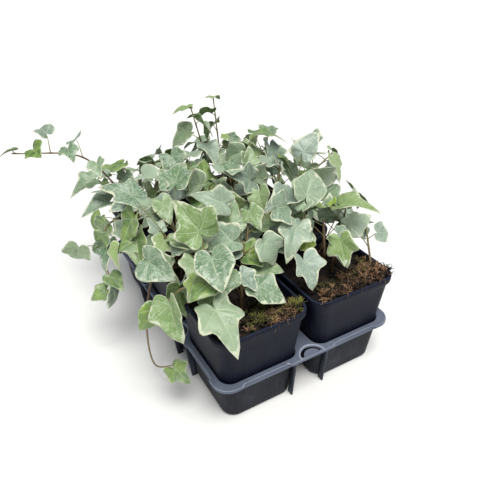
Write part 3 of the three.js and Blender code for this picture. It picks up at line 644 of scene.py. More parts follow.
class Finish:
    """A material being made. Its plain numbers go straight to the shader."""

    def __init__(self, name, **shader):
        self.material = bpy.data.materials.new(name)
        self.material.use_nodes = True
        self.nodes, self.links = self.material.node_tree.nodes, self.material.node_tree.links
        self.nodes.clear()
        self.shader = self.nodes.new("ShaderNodeBsdfPrincipled")
        output = self.nodes.new("ShaderNodeOutputMaterial")
        self.links.new(self.shader.outputs["BSDF"], output.inputs["Surface"])
        self.set(self.shader, shader)

    def set(self, node, values):
        """Sets or links the sockets of a node, by name or by number. A colour is made opaque."""
        for key, value in values.items():
            socket = node.inputs[key.replace("_", " ") if isinstance(key, str) else key]
            if isinstance(value, Number):
                self.links.new(value.socket, socket)
            else:
                socket.default_value = (*value, 1.0) if isinstance(value, Color) else value

    def add(self, kind, settings=None, *places, output=0, **sockets):
        """Adds a node of any kind: its settings first, then its sockets in order or by name."""
        node = self.nodes.new(kind)
        for key, value in (settings or {}).items():
            setattr(node, key, value)
        self.set(node, dict(enumerate(places)) | sockets)
        return Number(self, node.outputs[output])

    def paint(self, **sockets):
        """Links what changes over the surface to the shader."""
        self.set(self.shader, sockets)
        return self.material

    def place(self):
        """The point on the object, in metres."""
        return self.add("ShaderNodeTexCoord", output="Object")

    def number(self, name):
        """The numbers that a mesh keeps for its points under a name."""
        return self.add("ShaderNodeAttribute", {"attribute_name": name}, output="Fac")

    def parts(self, vector):
        """The three parts of a vector."""
        node = self.add("ShaderNodeSeparateXYZ", None, vector).socket.node
        return [Number(self, socket) for socket in node.outputs]

    def scaled(self, vector, scale):
        """A vector with each of its parts multiplied."""
        return self.add("ShaderNodeVectorMath", {"operation": "MULTIPLY"}, vector, scale)

    def noise(self, vector, scale, detail=2.0, roughness=0.5):
        """Smooth noise over a vector, mostly from 0 to 1."""
        sockets = {"Vector": vector, "Scale": scale, "Detail": detail, "Roughness": roughness}
        return self.add("ShaderNodeTexNoise", None, **sockets)

    def mix(self, share, one, other):
        """One colour turning into another as share goes from 0 to 1."""
        node = self.nodes.new("ShaderNodeMix")
        node.data_type = "RGBA"
        self.set(node, {0: share, 6: one, 7: other})
        return Number(self, node.outputs[2])

    def bump(self, height, strength, distance):
        """The way a surface faces, as if it had a height."""
        return self.add("ShaderNodeBump", None, Strength=strength, Distance=distance, Height=height)


def colour(text):
    """A colour written as three pairs of hexadecimal digits, as the linear numbers that shaders use."""
    parts = np.array([int(text[k : k + 2], 16) for k in (0, 2, 4)]) / 255
    linear = np.where(parts <= 0.04045, parts / 12.92, ((parts + 0.055) / 1.055) ** 2.4)
    return tuple(float(part) for part in linear)


def moulded_plastic(name, base, dust_and_light_colour, highlight_colour, raised, highlight_from, streaks, roughness):
    """Satin moulded plastic: upright flow lines, and faint clouds and scuffs of dust. Above one height in
    metres it is lighter all over, partly dust and partly painted light on its lit top, and above another it
    has a painted highlight."""
    finish = Finish(name, Roughness=roughness, Specular_IOR_Level=0.17)
    place = finish.place()
    lines = finish.noise(finish.scaled(place, (1.0, 1.0, 0.02)), 420.0, 3.0, 0.6)
    clouds = finish.noise(place, 38.0, 4.0, 0.6)
    scuffs = finish.noise(finish.scaled(place, (1.0, 1.0, 3.0)), 260.0, 2.0, 0.7)
    # Above the first height: lighter all over, partly dust and partly painted light where the top catches
    # the light.
    high = finish.parts(place)[2].step(raised, raised + 0.0004)
    dust_and_light = clouds.step(0.45, 0.75) * 0.14 + scuffs.step(0.62, 0.75) * 0.1 + lines.step(0.45, 0.7) * streaks
    dust_and_light = (dust_and_light + high * (0.62 + clouds * 0.4)).least(1.0)
    # Above the second height: a painted highlight, stronger where the scuffs are.
    painted_highlight = finish.parts(place)[2].step(highlight_from, highlight_from + 0.0002) * (0.6 + scuffs * 0.6)
    return finish.paint(
        Base_Color=finish.mix(painted_highlight, finish.mix(dust_and_light, base, dust_and_light_colour), highlight_colour),
        Roughness=roughness + dust_and_light * 0.2 + clouds * 0.1,
        Normal=finish.bump(lines * 0.5 + scuffs * 0.2, 0.25, 0.0004),
    )


def soil_finish(settings):
    """Damp potting soil: dark crumbs with brown bark and pale specks, mossy in places."""
    finish = Finish("potting_soil", Roughness=0.95)
    place = finish.place()
    coarse, fine = finish.noise(place, 130.0, 3.0), finish.noise(place, 620.0, 3.0, 0.65)
    moss = finish.noise(place, 60.0, 3.0).step(0.56, 0.66)
    brown = finish.mix(coarse.step(0.4, 0.65), settings.dark, settings.brown)
    specked = finish.mix(fine.step(0.63, 0.72), brown, settings.speck)
    return finish.paint(
        Base_Color=finish.mix(moss * 0.5, specked, settings.moss),
        Roughness=0.85 + fine * 0.15,
        Normal=finish.bump(fine + coarse * 0.6, 0.9, 0.0012),
    )


def strand_finish(name, dark, pale, tip):
    """Fibres and moss: each strand has its own share of pale, and turns to the tip's colour along it. Its
    darker foot is partly painted shade within the tufts, and its paler tip partly the strands' own colour.
    """
    finish = Finish(name, Roughness=0.8)
    tone, along = finish.number("tone"), finish.number("along")
    base = finish.mix(tone.step(0.35, 1.0), dark, pale)
    patch = finish.noise(finish.place(), 240.0, 2.0)
    return finish.paint(
        # Paler towards the tip: the darker foot is partly painted shade within the tufts, the paler tip
        # partly the strands' own colour.
        Base_Color=finish.mix(along.step(0.3, 1.0) * (tone * 0.7 + 0.1), base, tip),
        Roughness=0.7 + patch * 0.25,
        Normal=finish.bump(patch, 0.3, 0.0003),
    )


def stem_finish(settings):
    """Stems and stalks: brown bark at the foot, red-brown along the stem, green towards the leaves."""
    finish = Finish("ivy_stem", Roughness=0.5)
    age, tone = finish.number("age"), finish.number("tone")
    patch = finish.noise(finish.scaled(finish.place(), (1.0, 1.0, 0.35)), 420.0, 3.0)
    green = finish.mix(tone, settings.stalk_green, settings.stalk_red)
    bark = finish.mix(patch.step(0.35, 0.7), settings.bark, settings.stalk_red)
    return finish.paint(
        Base_Color=finish.mix((age + patch * 0.3 - 0.15).step(0.15, 0.85), bark, green),
        Roughness=0.42 + patch * 0.2,
        Normal=finish.bump(patch, 0.3, 0.0003),
    )


def vein_lines(across, along):
    """How close a point of a leaf is to its veins, from 0 to 1: five main ones fan out from the stalk, get
    thinner and, but for the midrib, bend, and side veins leave the midrib at even distances."""
    veins = None
    for degrees, width in zip(VEIN_ANGLES, VEIN_WIDTHS):
        turn = np.radians(degrees)
        sideways = abs(across) * float(np.cos(turn)) - along * float(np.sin(turn))
        onward = abs(across) * float(np.sin(turn)) + along * float(np.cos(turn))
        sideways = sideways + (abs(onward) - 0.2) * abs(onward) * (VEIN_BEND if degrees else 0.0)
        near = (abs(sideways) / (1.15 - onward.least(1.0))).step(width, 0.3 * width)
        near = near * onward.step(-0.02, 0.05)
        veins = near if veins is None else veins.top(near)
    ribs = (along * 6.5 - abs(across) * 4.2 + 60.0).fraction()
    side = abs(ribs - 0.5).step(0.07, 0.02) * abs(across).step(0.42, 0.05) * 0.3
    return veins.top(side)


def leaf_finish(settings):
    """A variegated ivy leaf. Its centre is marbled in grey-green and deep green, with silvery streaks that
    run out from the stalk. A cream band of uneven width runs round its edge, veins are pale, and the
    underside is a plain yellow-green. Some leaves are lime, some plain green, and some take a blue-grey
    tint, a painted shade."""
    finish = Finish("ivy_leaf", Roughness=0.4, Specular_IOR_Level=0.6)
    u, v, _ = finish.parts(finish.add("ShaderNodeUVMap", {"uv_map": "blade"}))
    across, along = (u - UV_MIDDLE[0]) / UV_SCALE, (v - UV_MIDDLE[1]) / UV_SCALE
    names = ("edge", "under", "lime", "green", "tone")
    edge, under, lime, green, tone = (finish.number(name) for name in names)
    flat = finish.add("ShaderNodeCombineXYZ", None, across, along, tone * 40.0)
    broad, small = finish.noise(flat, 3.4, 2.0), finish.noise(flat, 12.0, 3.0, 0.6)
    uneven = finish.noise(finish.scaled(flat, (1.0, 1.0, 3.0)), 4.0, 3.0)
    away = (across * across + along * along + 0.002).power(0.5)
    rays = finish.add("ShaderNodeCombineXYZ", None, across.turn_to(along) * 1.9, away * 1.3, tone * 40.0)
    streak = finish.noise(rays, 3.2, 4.0, 0.65)
    veins = vein_lines(across + (small - 0.5) * 0.03, along + (broad - 0.5) * 0.03)
    marble = (broad * 0.25 + small * 0.3 + streak * 0.45 + (tone - 0.5) * 0.14).step(0.43, 0.57)
    centre = finish.mix(marble, settings.grey_green, settings.deep_green)
    # Painted shade: leaves drawn at random by their tone take the blue-grey of leaves in shadow.
    centre = finish.mix((tone * 7.3).fraction().step(0.55, 0.9) * 0.6, centre, settings.shaded_blue_grey)
    silver = (streak * 0.6 + small * 0.4 + edge * 0.07).step(0.54, 0.64) * 0.75
    centre = finish.mix(silver, centre, settings.silver)
    centre = finish.mix(lime, centre, settings.lime)
    plain = finish.mix(broad.step(0.35, 0.7) * 0.7, settings.green, settings.lime)
    centre = finish.mix(green, centre, plain)
    width = settings.margin_width * (0.5 + (uneven - 0.46) * 16.0 + (tone * 3.1).fraction() * 1.2)
    band = (edge + width.top(0.008) + (small - 0.5) * 0.11 + (streak - 0.5) * 0.06).step(0.96, 1.015)
    skin = finish.mix(band * (1 - lime * 0.3) * (1 - green * 0.7), centre, settings.cream)
    skin = finish.mix(veins * (0.22 + broad * 0.5), skin, settings.vein)
    below = finish.mix(marble * 0.6, settings.underside, settings.green)
    below = finish.mix(band * 0.35, below, settings.cream)
    below = finish.mix(veins * 0.4, below, settings.vein)
    height = small * 0.35 - veins * 0.6
    return finish.paint(
        Base_Color=finish.mix(under, skin, below),
        Roughness=0.33 + small * 0.14 + under * 0.18,
        Normal=finish.bump(height, 0.4, 0.0007),
    )


# The holder's pieces. Steps are how many points a rounded square has along a side and round a corner.

POT_STEPS, TRAY_STEPS, SOIL_STEPS = (24, 12), (46, 10), (28, 10)
ARC_STEPS, WELD_DISTANCE, TRAY_SHARP, POT_SHARP = 28, 0.02 * MM, np.radians(50), np.radians(60)


def pot_profile():
    """A pot's section from its drain hole out over the base, up the wall with a thicker rim band, over the
    rounded lip, down the inside and back to the hole."""
    inner = lambda z: pot_half(z) - POT_WALL
    foot, floor = POT_BOTTOM, POT_BOTTOM + POT_FLOOR
    band, lip = POT_TOP - RIM_DEPTH, POT_RIM_HALF
    outside = [(POT_DRAIN, POT_DRAIN - 0.5, foot), (16, 14, foot), (pot_half(foot) - 1.6, 11, foot)]
    outside += [(pot_half(foot) - 0.5, 11.7, foot + 0.4), (pot_half(foot + 1.5), POT_CORNER, foot + 1.5)]
    outside += [(pot_half(z), POT_CORNER, z) for z in np.linspace(8, band - 2.5, 12)]
    outside += [(pot_half(band) + 0.35, POT_CORNER + 0.2, band - 1.2), (lip - 1.1, RIM_CORNER - 0.7, band)]
    outside += [(lip - 0.3, RIM_CORNER, band + 1.4), (lip - 0.05, RIM_CORNER, POT_TOP - 1.3)]
    outside += [(lip - 0.2, RIM_CORNER, POT_TOP - 0.5), (lip - 0.7, RIM_CORNER - 0.4, POT_TOP)]
    inside = [(inner(POT_TOP) + 0.6, POT_CORNER, POT_TOP)]
    inside += [(inner(POT_TOP) + 0.1, POT_CORNER - 0.4, POT_TOP - 0.5)]
    inside += [(inner(z), POT_CORNER - 1, z) for z in np.linspace(POT_TOP - 1.6, floor + 1.5, 8)]
    inside += [(inner(floor) - 1.0, 10, floor), (14, 12, floor), (POT_DRAIN, POT_DRAIN - 0.5, floor)]
    return outside + inside


def pot_shape(cell):
    """The pot's section carried round its rounded square, with the drain hole's wall closing it."""
    profile = pot_profile()
    points, around = carried_square(centre_of(cell), [*profile, profile[0]], *POT_STEPS)
    rows = len(profile)
    faces = grid_faces(rows + 1, around)
    faces = np.where(faces >= rows * around, faces - rows * around, faces)
    return points[: rows * around], [faces]


def edge_inset(along_edge):
    """How far the tray's edge lies inside the cells' outer line: little at the wide pads, which are centred
    on the cells' corners, and more between them, with a smooth step."""
    off = np.abs(along_edge - PITCH * np.round(along_edge / PITCH))
    step = np.clip((off - PAD_HALF + 1.0) / 2.0, 0, 1)
    return TRAY_EDGE + (TRAY_RECESS - TRAY_EDGE) * step * step * (3 - 2 * step)


def onto_outline(points, inset):
    """Moves points on the cells' outer line to the tray's outline, a rectangle with round corners."""
    size = np.array([COLUMNS, ROWS]) * PITCH
    inset = inset[:, None]
    core = np.clip(points, inset + TRAY_CORNER, size - inset - TRAY_CORNER)
    return core + unit(points - core) * TRAY_CORNER


def border_points(points):
    """A cell's border, with what lies on the tray's outer line drawn in to its outline."""
    size = np.array([COLUMNS, ROWS]) * PITCH
    on_x = (points[:, 0] < 0.01) | (points[:, 0] > size[0] - 0.01)
    on_y = (points[:, 1] < 0.01) | (points[:, 1] > size[1] - 0.01)
    moved = points.copy()
    inset = edge_inset(np.where(on_x, points[:, 1], points[:, 0]))
    outer = on_x | on_y
    moved[outer] = onto_outline(points[outer], inset[outer])
    return moved


def pocket_shape(cell):
    """One cell of the tray's sheet: rings from the cell's border over the flat top, down the pocket's wall
    and over its floor to the drain hole."""
    centre = centre_of(cell)
    inner = lambda z: pot_half(z) + PLAY
    floor = POT_BOTTOM - 0.3
    mouth = [(inner(TRAY_TOP) + 0.9, 11.9, TRAY_TOP), (inner(TRAY_TOP) + 0.3, 11.3, TRAY_TOP - 0.25)]
    mouth += [(inner(TRAY_TOP), 11, TRAY_TOP - 0.9)]
    wall = [(inner(z), 11, z) for z in np.linspace(40, 5, 6)]
    foot = [(inner(2.8), 11, 2.8), (inner(1.5) - 0.5, 10.6, floor + 0.3), (inner(1.5) - 1.4, 10, floor)]
    drain = [(21, 17, floor), (TRAY_DRAIN, TRAY_DRAIN, floor)]
    profile = [*mouth, *wall, *foot, *drain]
    points, around = carried_square(centre, profile, *TRAY_STEPS)
    square = square_ring([PITCH / 2], [0.0], *TRAY_STEPS)[0] + centre
    border = border_points(square)
    mouth_ring = points[:around, :2]
    shares = np.array([0.0, 0.06, 0.3, 0.6, 0.85])[:, None, None]
    flat = border + shares * (mouth_ring - border)
    return np.vstack([raised(flat, TRAY_TOP), points]), [grid_faces(len(shares) + len(profile), around)]


def lip_shape():
    """The tray's turned-down lip: rings round the outline from the flat top, over a rounded edge, down the
    pads' edge, in to the lip's line and down to its foot."""
    step = PITCH / TRAY_STEPS[0]
    x = np.arange(0, COLUMNS * PITCH - step / 2, step)
    y = np.arange(0, ROWS * PITCH - step / 2, step)
    right, back = COLUMNS * PITCH, ROWS * PITCH
    sides = [(x, 0 * x), (right + 0 * y, y), (right - x, back + 0 * x), (0 * y, back - y)]
    line = np.vstack([np.stack(side, axis=1) for side in sides])
    along_edge = np.concatenate([x, y, right - x, back - y])
    inset = edge_inset(along_edge)
    recess = np.full_like(inset, TRAY_RECESS)
    rings = [(inset, 0.0), (inset, -0.35), (inset - 0.35, -0.35), (inset - 0.5, 0.1)]
    rings += [(inset - 0.5, 0.7), (inset - 0.5, PAD_DEPTH - 0.3)]
    rings += [(inset - 0.2, PAD_DEPTH), (recess - 0.3, PAD_DEPTH + 0.1), (recess - 0.4, PAD_DEPTH + 0.5)]
    rings += [(recess - 0.4, LIP_DEPTH)]
    flat = np.stack([onto_outline(line, ring) for ring, _ in rings])
    depths = np.array([depth for _, depth in rings])[:, None]
    return raised(flat, TRAY_TOP - depths), [grid_faces(len(rings), len(line))[:, ::-1]]


def junctions():
    """The places on the tray's edge where two cells meet: the point, and the angle of the way in."""
    front_back = ((TRAY_EDGE, 0.5 * np.pi), (ROWS * PITCH - TRAY_EDGE, -0.5 * np.pi))
    left_right = ((TRAY_EDGE, 0.0), (COLUMNS * PITCH - TRAY_EDGE, np.pi))
    found = [(column * PITCH, y, inward) for y, inward in front_back for column in range(1, COLUMNS)]
    return found + [(x, row * PITCH, inward) for x, inward in left_right for row in range(1, ROWS)]


def arc_bar(place, section, opening):
    """A closed bar along part of a circle round a junction: a section of radius and height at each step."""
    x, y, inward = place
    radius, z = np.array(section, float).T
    angle = inward + opening * np.linspace(-0.5, 0.5, ARC_STEPS)[:, None]
    flat = np.stack([x + radius * np.cos(angle), y + radius * np.sin(angle)], axis=-1)
    return raised(flat, z), [face[:, ::-1] for face in bar_faces(ARC_STEPS, len(section))]


def ridge_shape(place):
    """The raised half ring: a low bar with a rounded top."""
    outer, inner, top = RIDGE_OUTER, RIDGE_OUTER - RIDGE_WIDTH, TRAY_TOP + RIDGE_HEIGHT
    section = [(inner - 0.3, TRAY_TOP - 0.4), (outer + 0.3, TRAY_TOP - 0.4), (outer + 0.1, TRAY_TOP + 0.3)]
    section += [(outer - 0.25, top - 0.15), (outer - 0.5, top), (inner + 0.5, top)]
    section += [(inner + 0.25, top - 0.15), (inner - 0.1, TRAY_TOP + 0.3)]
    return arc_bar(place, section, np.pi)


def slit_shape(place):
    """What is cut out of the tray's top: a curved slit inside the half ring."""
    outer = RIDGE_OUTER - RIDGE_WIDTH - SLIT_GAP
    inner, low, high = outer - SLIT_WIDTH, TRAY_TOP - LIP_DEPTH, TRAY_TOP + 1
    return arc_bar(place, [(inner, low), (outer, low), (outer, high), (inner, high)], SLIT_OPENING)


def fin_shape(place, side):
    """An upright plate under a pad, whose outer edge runs from the pad's rim in to the pocket's foot."""
    x, y, inward = place
    wall = PITCH / 2 - TRAY_EDGE - pot_half(0) - PLAY
    top = TRAY_TOP - 1
    foot = ((wall - FIN_FOOT[0], 0), (wall - FIN_FOOT[1], 0))
    outline = np.array([(FIN_HEAD[0], top), *foot, (FIN_HEAD[1], top)])
    share = np.linspace(0, 1, 9)[:, None]
    outer = outline[0] + share * (outline[1] - outline[0])
    inner = outline[3] + share * (outline[2] - outline[3])
    rows = []
    for off, cut in ((-0.5, 0.35), (-0.3, 0.0), (0.3, 0.0), (0.5, 0.35)):
        rows.append(np.column_stack([outer + (cut, 0), np.full(len(outer), off * FIN_THICK)]))
    for off in (0.5, -0.5):
        rows.append(np.column_stack([inner, np.full(len(inner), off * FIN_THICK)]))
    section = np.stack(rows, axis=1)
    depth, height, sideways = section[..., 0], section[..., 1], section[..., 2] + side * FIN_OFFSET
    forward = np.array([np.cos(inward), np.sin(inward)])
    across = np.array([-np.sin(inward), np.cos(inward)])
    flat = np.array([x, y]) + depth[..., None] * forward + sideways[..., None] * across
    return raised(flat, height), bar_faces(*height.shape)


def tray_mesh(thickness):
    """The tray: its sheet of six cells and the lip, given a thickness, cut by the slits, with the raised
    half rings added as closed bars."""
    sheet = make_mesh("tray_sheet", *merge_shapes([*(pocket_shape(cell) for cell in CELLS), lip_shape()]))
    weld(sheet, WELD_DISTANCE)
    solid = with_modifier(sheet, "SOLIDIFY", thickness=thickness, offset=-1.0)
    places = junctions()
    cutter = add_object("slits", make_mesh("slits", *merge_shapes([slit_shape(at) for at in places])))
    cut = with_modifier(solid, "BOOLEAN", object=cutter, operation="DIFFERENCE", solver="EXACT")
    bpy.data.objects.remove(cutter)
    work = bmesh.new()
    work.from_mesh(cut)
    work.from_mesh(make_mesh("tray_extras", *merge_shapes([ridge_shape(at) for at in places])))
    bmesh.ops.recalc_face_normals(work, faces=work.faces)
    tray = bpy.data.meshes.new("carry_tray")
    work.to_mesh(tray)
    work.free()
    tray.shade_smooth()
    tray.set_sharp_from_angle(angle=TRAY_SHARP)
    return tray


# Soil, crumbs, fibres and moss. The soil's relief is three layers of noise, each its width and height.

SOIL_RINGS, RELIEF = 64, ((8.0, 3.0), (3.6, 2.4), (1.7, 1.3))


def soil_shape(cell):
    """A plug of soil: rings from its middle out to the pot's wall, their heights raised by crumbs of three
    sizes, then down the wall and across the pot's floor."""
    column, row = cell
    rings = SOIL_RINGS
    share = np.linspace(0, 1, rings + 1)[1:]
    around_ring = square_ring(SOIL_HALF * share, (POT_CORNER - 1) * share, *SOIL_STEPS)
    top = np.concatenate([np.zeros((1, 2)), around_ring.reshape(-1, 2)])
    u, v = (top / SOIL_HALF).T
    flat = np.column_stack([top + centre_of(cell), np.zeros(len(top))])
    layers = [size * (lattice_noise(flat / scale, 5 + k) - 0.5) for k, (scale, size) in enumerate(RELIEF)]
    relief = sum(layers)
    falling = np.clip((1 - np.abs(top).max(axis=1) / SOIL_HALF) * 12, 0, 1)
    z = soil_top(column, row, u, v) + relief * (0.3 + 0.7 * falling) - 1.0 * (1 - falling)
    low = POT_BOTTOM + POT_FLOOR + SOIL_GAP
    around = around_ring.shape[1]
    half = pot_half(low) - POT_WALL - SOIL_GAP
    wall, _ = carried_square(centre_of(cell), [(half + 6, 11, 60), (half, 11, low)], *SOIL_STEPS)
    middle = np.array([[*centre_of(cell), low]])
    points = np.vstack([np.column_stack([flat[:, :2], z]), wall, middle])
    sheet = 1 + grid_faces(rings + 2, around)
    first, last = 1 + np.arange(around), 1 + (rings + 1) * around + np.arange(around)
    return points, [sheet[:, ::-1], fan_faces(0, first, flip=True), fan_faces(len(points) - 1, last)]


def on_soil(cell, u, v):
    """The points of the soil's plain surface over shares of the pot's mouth."""
    x, y = centre_of(cell)[0] + u * SOIL_HALF, centre_of(cell)[1] + v * SOIL_HALF
    return np.stack([x, y, soil_top(cell[0], cell[1], u, v)], axis=-1)


def crumb_shapes(rng, count):
    """Loose crumbs and bits of bark: eight-faced lumps cut once more, each with its own stretch and turn."""
    corners = np.array([(1, 0, 0), (-1, 0, 0), (0, 1, 0), (0, -1, 0), (0, 0, 1), (0, 0, -1)], float)
    faces = [(0, 2, 4), (2, 1, 4), (1, 3, 4), (3, 0, 4), (2, 0, 5), (1, 2, 5), (3, 1, 5), (0, 3, 5)]
    faces = np.array(faces)
    middles = unit(corners[faces].mean(axis=1)) * 0.9
    base = np.vstack([corners, middles])
    top = 6 + np.arange(8)
    split = np.vstack([np.stack([faces[:, k], faces[:, (k + 1) % 3], top], axis=1) for k in range(3)])
    cells = rng.integers(0, len(CELLS), count)
    u, v = rng.uniform(-0.93, 0.93, (2, count))
    spots = np.array([on_soil(CELLS[c], a, b) for c, a, b in zip(cells, u, v)])
    size = rng.uniform(0.5, 1.7, (count, 1)) * rng.uniform(0.5, 1.3, (count, 3))
    turn, tilt = rng.uniform(0, 2 * np.pi, (2, count, 1))
    lumps = base * size[:, None] * (1 + 0.35 * (rng.random((count, len(base), 1)) - 0.5))
    x, y, z = np.moveaxis(lumps, -1, 0)
    x, z = turned(x, z, tilt)
    x, y = turned(x, y, turn)
    points = np.stack([x, y, z + 0.5], axis=-1) + spots[:, None]
    return points.reshape(-1, 3), [repeat_faces(split, count, len(base))]


# Where dead fibres and moss lie on the soil: the pot, the middle of the clump in shares of its mouth, how
# far it spreads in millimetres, and how many tufts it has.
FIBRE_CLUMPS = [
    ((0, 0), (0.2, -0.96), 7, 9), ((0, 0), (0.42, -0.95), 8, 20), ((0, 0), (0.62, -0.92), 8, 22),
    ((0, 0), (-0.45, -0.85), 8, 4), ((0, 0), (0.5, -0.6), 9, 6), ((0, 0), (-0.6, 0.2), 9, 5),
    ((1, 0), (-0.75, -0.9), 8, 14), ((1, 0), (-0.35, -0.92), 8, 14), ((1, 0), (0.05, -0.88), 9, 18),
    ((1, 0), (0.4, -0.84), 9, 20), ((1, 0), (0.7, -0.84), 9, 22), ((1, 0), (0.88, -0.66), 7, 14),
    ((1, 0), (0.3, -0.45), 10, 8), ((1, 0), (0.5, 0.6), 9, 8), ((0, 1), (-0.8, 0.3), 7, 6),
    ((0, 2), (-0.7, -0.2), 7, 6), ((1, 1), (0.8, -0.2), 7, 8), ((1, 2), (0.7, 0.7), 8, 8),
    ((0, 2), (0.2, 0.85), 8, 8), ((1, 2), (-0.3, 0.85), 8, 8), ((0, 0), (0.3, -0.8), 7, 14),
    ((1, 0), (0.75, -0.45), 8, 16), ((1, 0), (0.9, -0.2), 6, 12), ((1, 0), (0.1, -0.6), 9, 12),
]
MOSS_CLUMPS = [
    ((0, 0), (-0.15, -0.85), 9, 22), ((0, 0), (0.1, -0.8), 8, 26), ((0, 0), (0.35, -0.7), 8, 20),
    ((0, 0), (0.84, -0.84), 6, 26), ((0, 0), (0.7, -0.66), 8, 18), ((0, 0), (-0.45, -0.6), 9, 12),
    ((1, 0), (-0.6, -0.7), 9, 16), ((1, 0), (0.15, -0.6), 10, 14), ((1, 0), (0.55, -0.5), 10, 10),
    ((1, 0), (0.8, -0.3), 8, 8), ((1, 1), (0.7, 0.3), 10, 12), ((0, 1), (-0.7, -0.3), 9, 12),
    ((0, 2), (-0.5, 0.6), 10, 14), ((1, 2), (0.4, 0.8), 10, 14), ((1, 2), (0.8, 0.2), 9, 12),
    ((0, 0), (0.2, -0.55), 9, 24), ((0, 0), (0.6, -0.45), 8, 18), ((0, 0), (0.45, -0.85), 6, 16),
]
FIBRES_PER_TUFT, MOSS_PER_TUFT = 11, 13


def tuft_starts(rng, clumps, per_tuft, wide, lift):
    """Where strands start and how pale they are. Tufts lie bell-shaped round each clump's middle, their
    strands bell-shaped round the tuft's, and all inside the pot's wall. A tuft has one tone and lift."""
    starts, tones = [], []
    mouth = pot_half(SOIL_LEVEL) - POT_WALL - 1.0
    for cell, (u, v), spread, count in clumps:
        middles = np.array([u, v]) * mouth + rng.normal(0, spread / 2, (count, 2))
        at = np.repeat(middles, per_tuft, axis=0) + rng.normal(0, wide, (count * per_tuft, 2))
        lifted = np.repeat(rng.uniform(0, lift, count), per_tuft)
        starts.append(on_soil(cell, *(np.clip(at, -mouth, mouth) / mouth).T))
        starts[-1][:, 2] += lifted
        tones.append(np.repeat(rng.beta(0.7, 0.9, count), per_tuft))
    tone = np.concatenate(tones)
    return np.vstack(starts), np.clip(tone + rng.normal(0, 0.15, len(tone)), 0, 1)


def fibre_shape(rng):
    """Dead fibres: thin three-sided strands that curl. Each turns at an even rate from a drawn heading
    while it climbs and falls in an arch, and droops where it has passed the pot's rim."""
    starts, tone = tuft_starts(rng, FIBRE_CLUMPS, FIBRES_PER_TUFT, 0.8, 4.6)
    count, steps = len(starts), 6
    along = np.linspace(0, 1, steps)
    length = rng.uniform(3, 9, count)[:, None]
    angle = rng.uniform(0, 2 * np.pi, count)[:, None] + rng.normal(0, 2.2, count)[:, None] * along
    forward = np.cumsum(heading(angle) * (length / steps)[..., None], axis=1)
    climb, arch = rng.uniform(0.5, 5.0, count)[:, None], rng.uniform(0.45, 0.9, count)[:, None]
    rise = climb * np.sin(np.pi * along * arch)
    paths = starts[:, None] + forward * 0.62
    paths[..., 2] += rise - 0.5
    paths[..., 2] -= np.where(is_outside(paths), 4.0, 0.0) * along**2
    radii = np.outer(rng.uniform(0.3, 0.7, count), np.linspace(1, 0.3, steps))
    points, faces = tubes(paths, radii, 3, heading(rng.uniform(0, 2 * np.pi, count), 0.4))
    return points, faces, {"tone": np.repeat(tone, steps * 3), "along": np.tile(np.repeat(along, 3), count)}


def is_outside(points):
    """Whether points lie outside the pots' rims, seen from above."""
    off = (points[..., :2] / PITCH) % 1 - 0.5
    return np.abs(off).max(axis=-1) * PITCH > POT_RIM_HALF


def moss_shape(rng):
    """Moss: tufts of short upright three-sided points that lean outwards at random."""
    starts, tone = tuft_starts(rng, MOSS_CLUMPS, MOSS_PER_TUFT, 0.7, 4.0)
    count = len(starts)
    lean = rng.normal(0, 0.6, (count, 2))
    tips = starts + np.column_stack([lean, np.ones(count)]) * rng.uniform(1.5, 4.2, count)[:, None]
    middle = 0.5 * (starts + tips) - np.column_stack([lean * 0.3, np.zeros(count)])
    radii = np.outer(rng.uniform(0.28, 0.55, count), (1.0, 0.8, 0.08))
    paths = np.stack([starts - (0, 0, 0.5), middle, tips], axis=1)
    points, faces = tubes(paths, radii, 3, heading(rng.uniform(0, 2 * np.pi, count)))
    along = np.tile(np.repeat([0.0, 0.5, 1.0], 3), count)
    return points, faces, {"tone": np.repeat(tone, 9), "along": along}


# Leaves and stems. Sizes on a blade are in leaf lengths, and those of stems and stalks in millimetres.

UV_MIDDLE, UV_SCALE = (0.5, 0.4), 0.45
VEIN_ANGLES, VEIN_BEND = (0, LOBE_ANGLES[2], LOBE_ANGLES[3] - 6), 0.3
VEIN_WIDTHS, VEIN_DEPTHS = (0.024, 0.018, 0.014), (0.014, 0.01, 0.008)
BLADE_AROUND, BLADE_RINGS, AROUND_BIAS, RING_BIAS = 44, 9, 0.11, 0.85
EDGE_SWAY, EDGE_WAVES = ((1, 0.05), (3, 0.03)), ((3, 1), (5, 0.8), (9, 0.3))
WAVE_SHARES, EDGE_CURLS, TWISTS, TIP_CURLS = (0.4, 1.6), (-0.03, 0.16), (-0.5, 0.5), (-0.16, 0.1)
MIDRIB_ROUND, GROOVE_WIDTH, EDGE_THIN = 0.05, 0.035, 0.45
STEM_TUBE_STEP, STEM_SIDES, KNOT_HEIGHT, KNOT_LENGTH = 2.5, 8, 0.22, 1.1
STALK_STEPS, STALK_SIDES, STALK_END = 9, 6, 0.3
OUTLINE_SOFTENING = 11
OUTLINE_ANGLES = np.radians([0, 5, 12, 22, 32, 42, 52, 60, 70, 84, 100, 116, 132, 148, 164, 174, 180])
OUTLINE_LOBED = np.array(
    [1.0, 0.91, 0.76, 0.6, 0.51, 0.52, 0.62, 0.67, 0.6, 0.47, 0.43, 0.46, 0.47, 0.38, 0.22, 0.1, 0.05]
)
OUTLINE_PLAIN = np.array(
    [1.0, 0.92, 0.82, 0.72, 0.65, 0.6, 0.57, 0.55, 0.52, 0.5, 0.48, 0.46, 0.42, 0.34, 0.22, 0.11, 0.05]
)


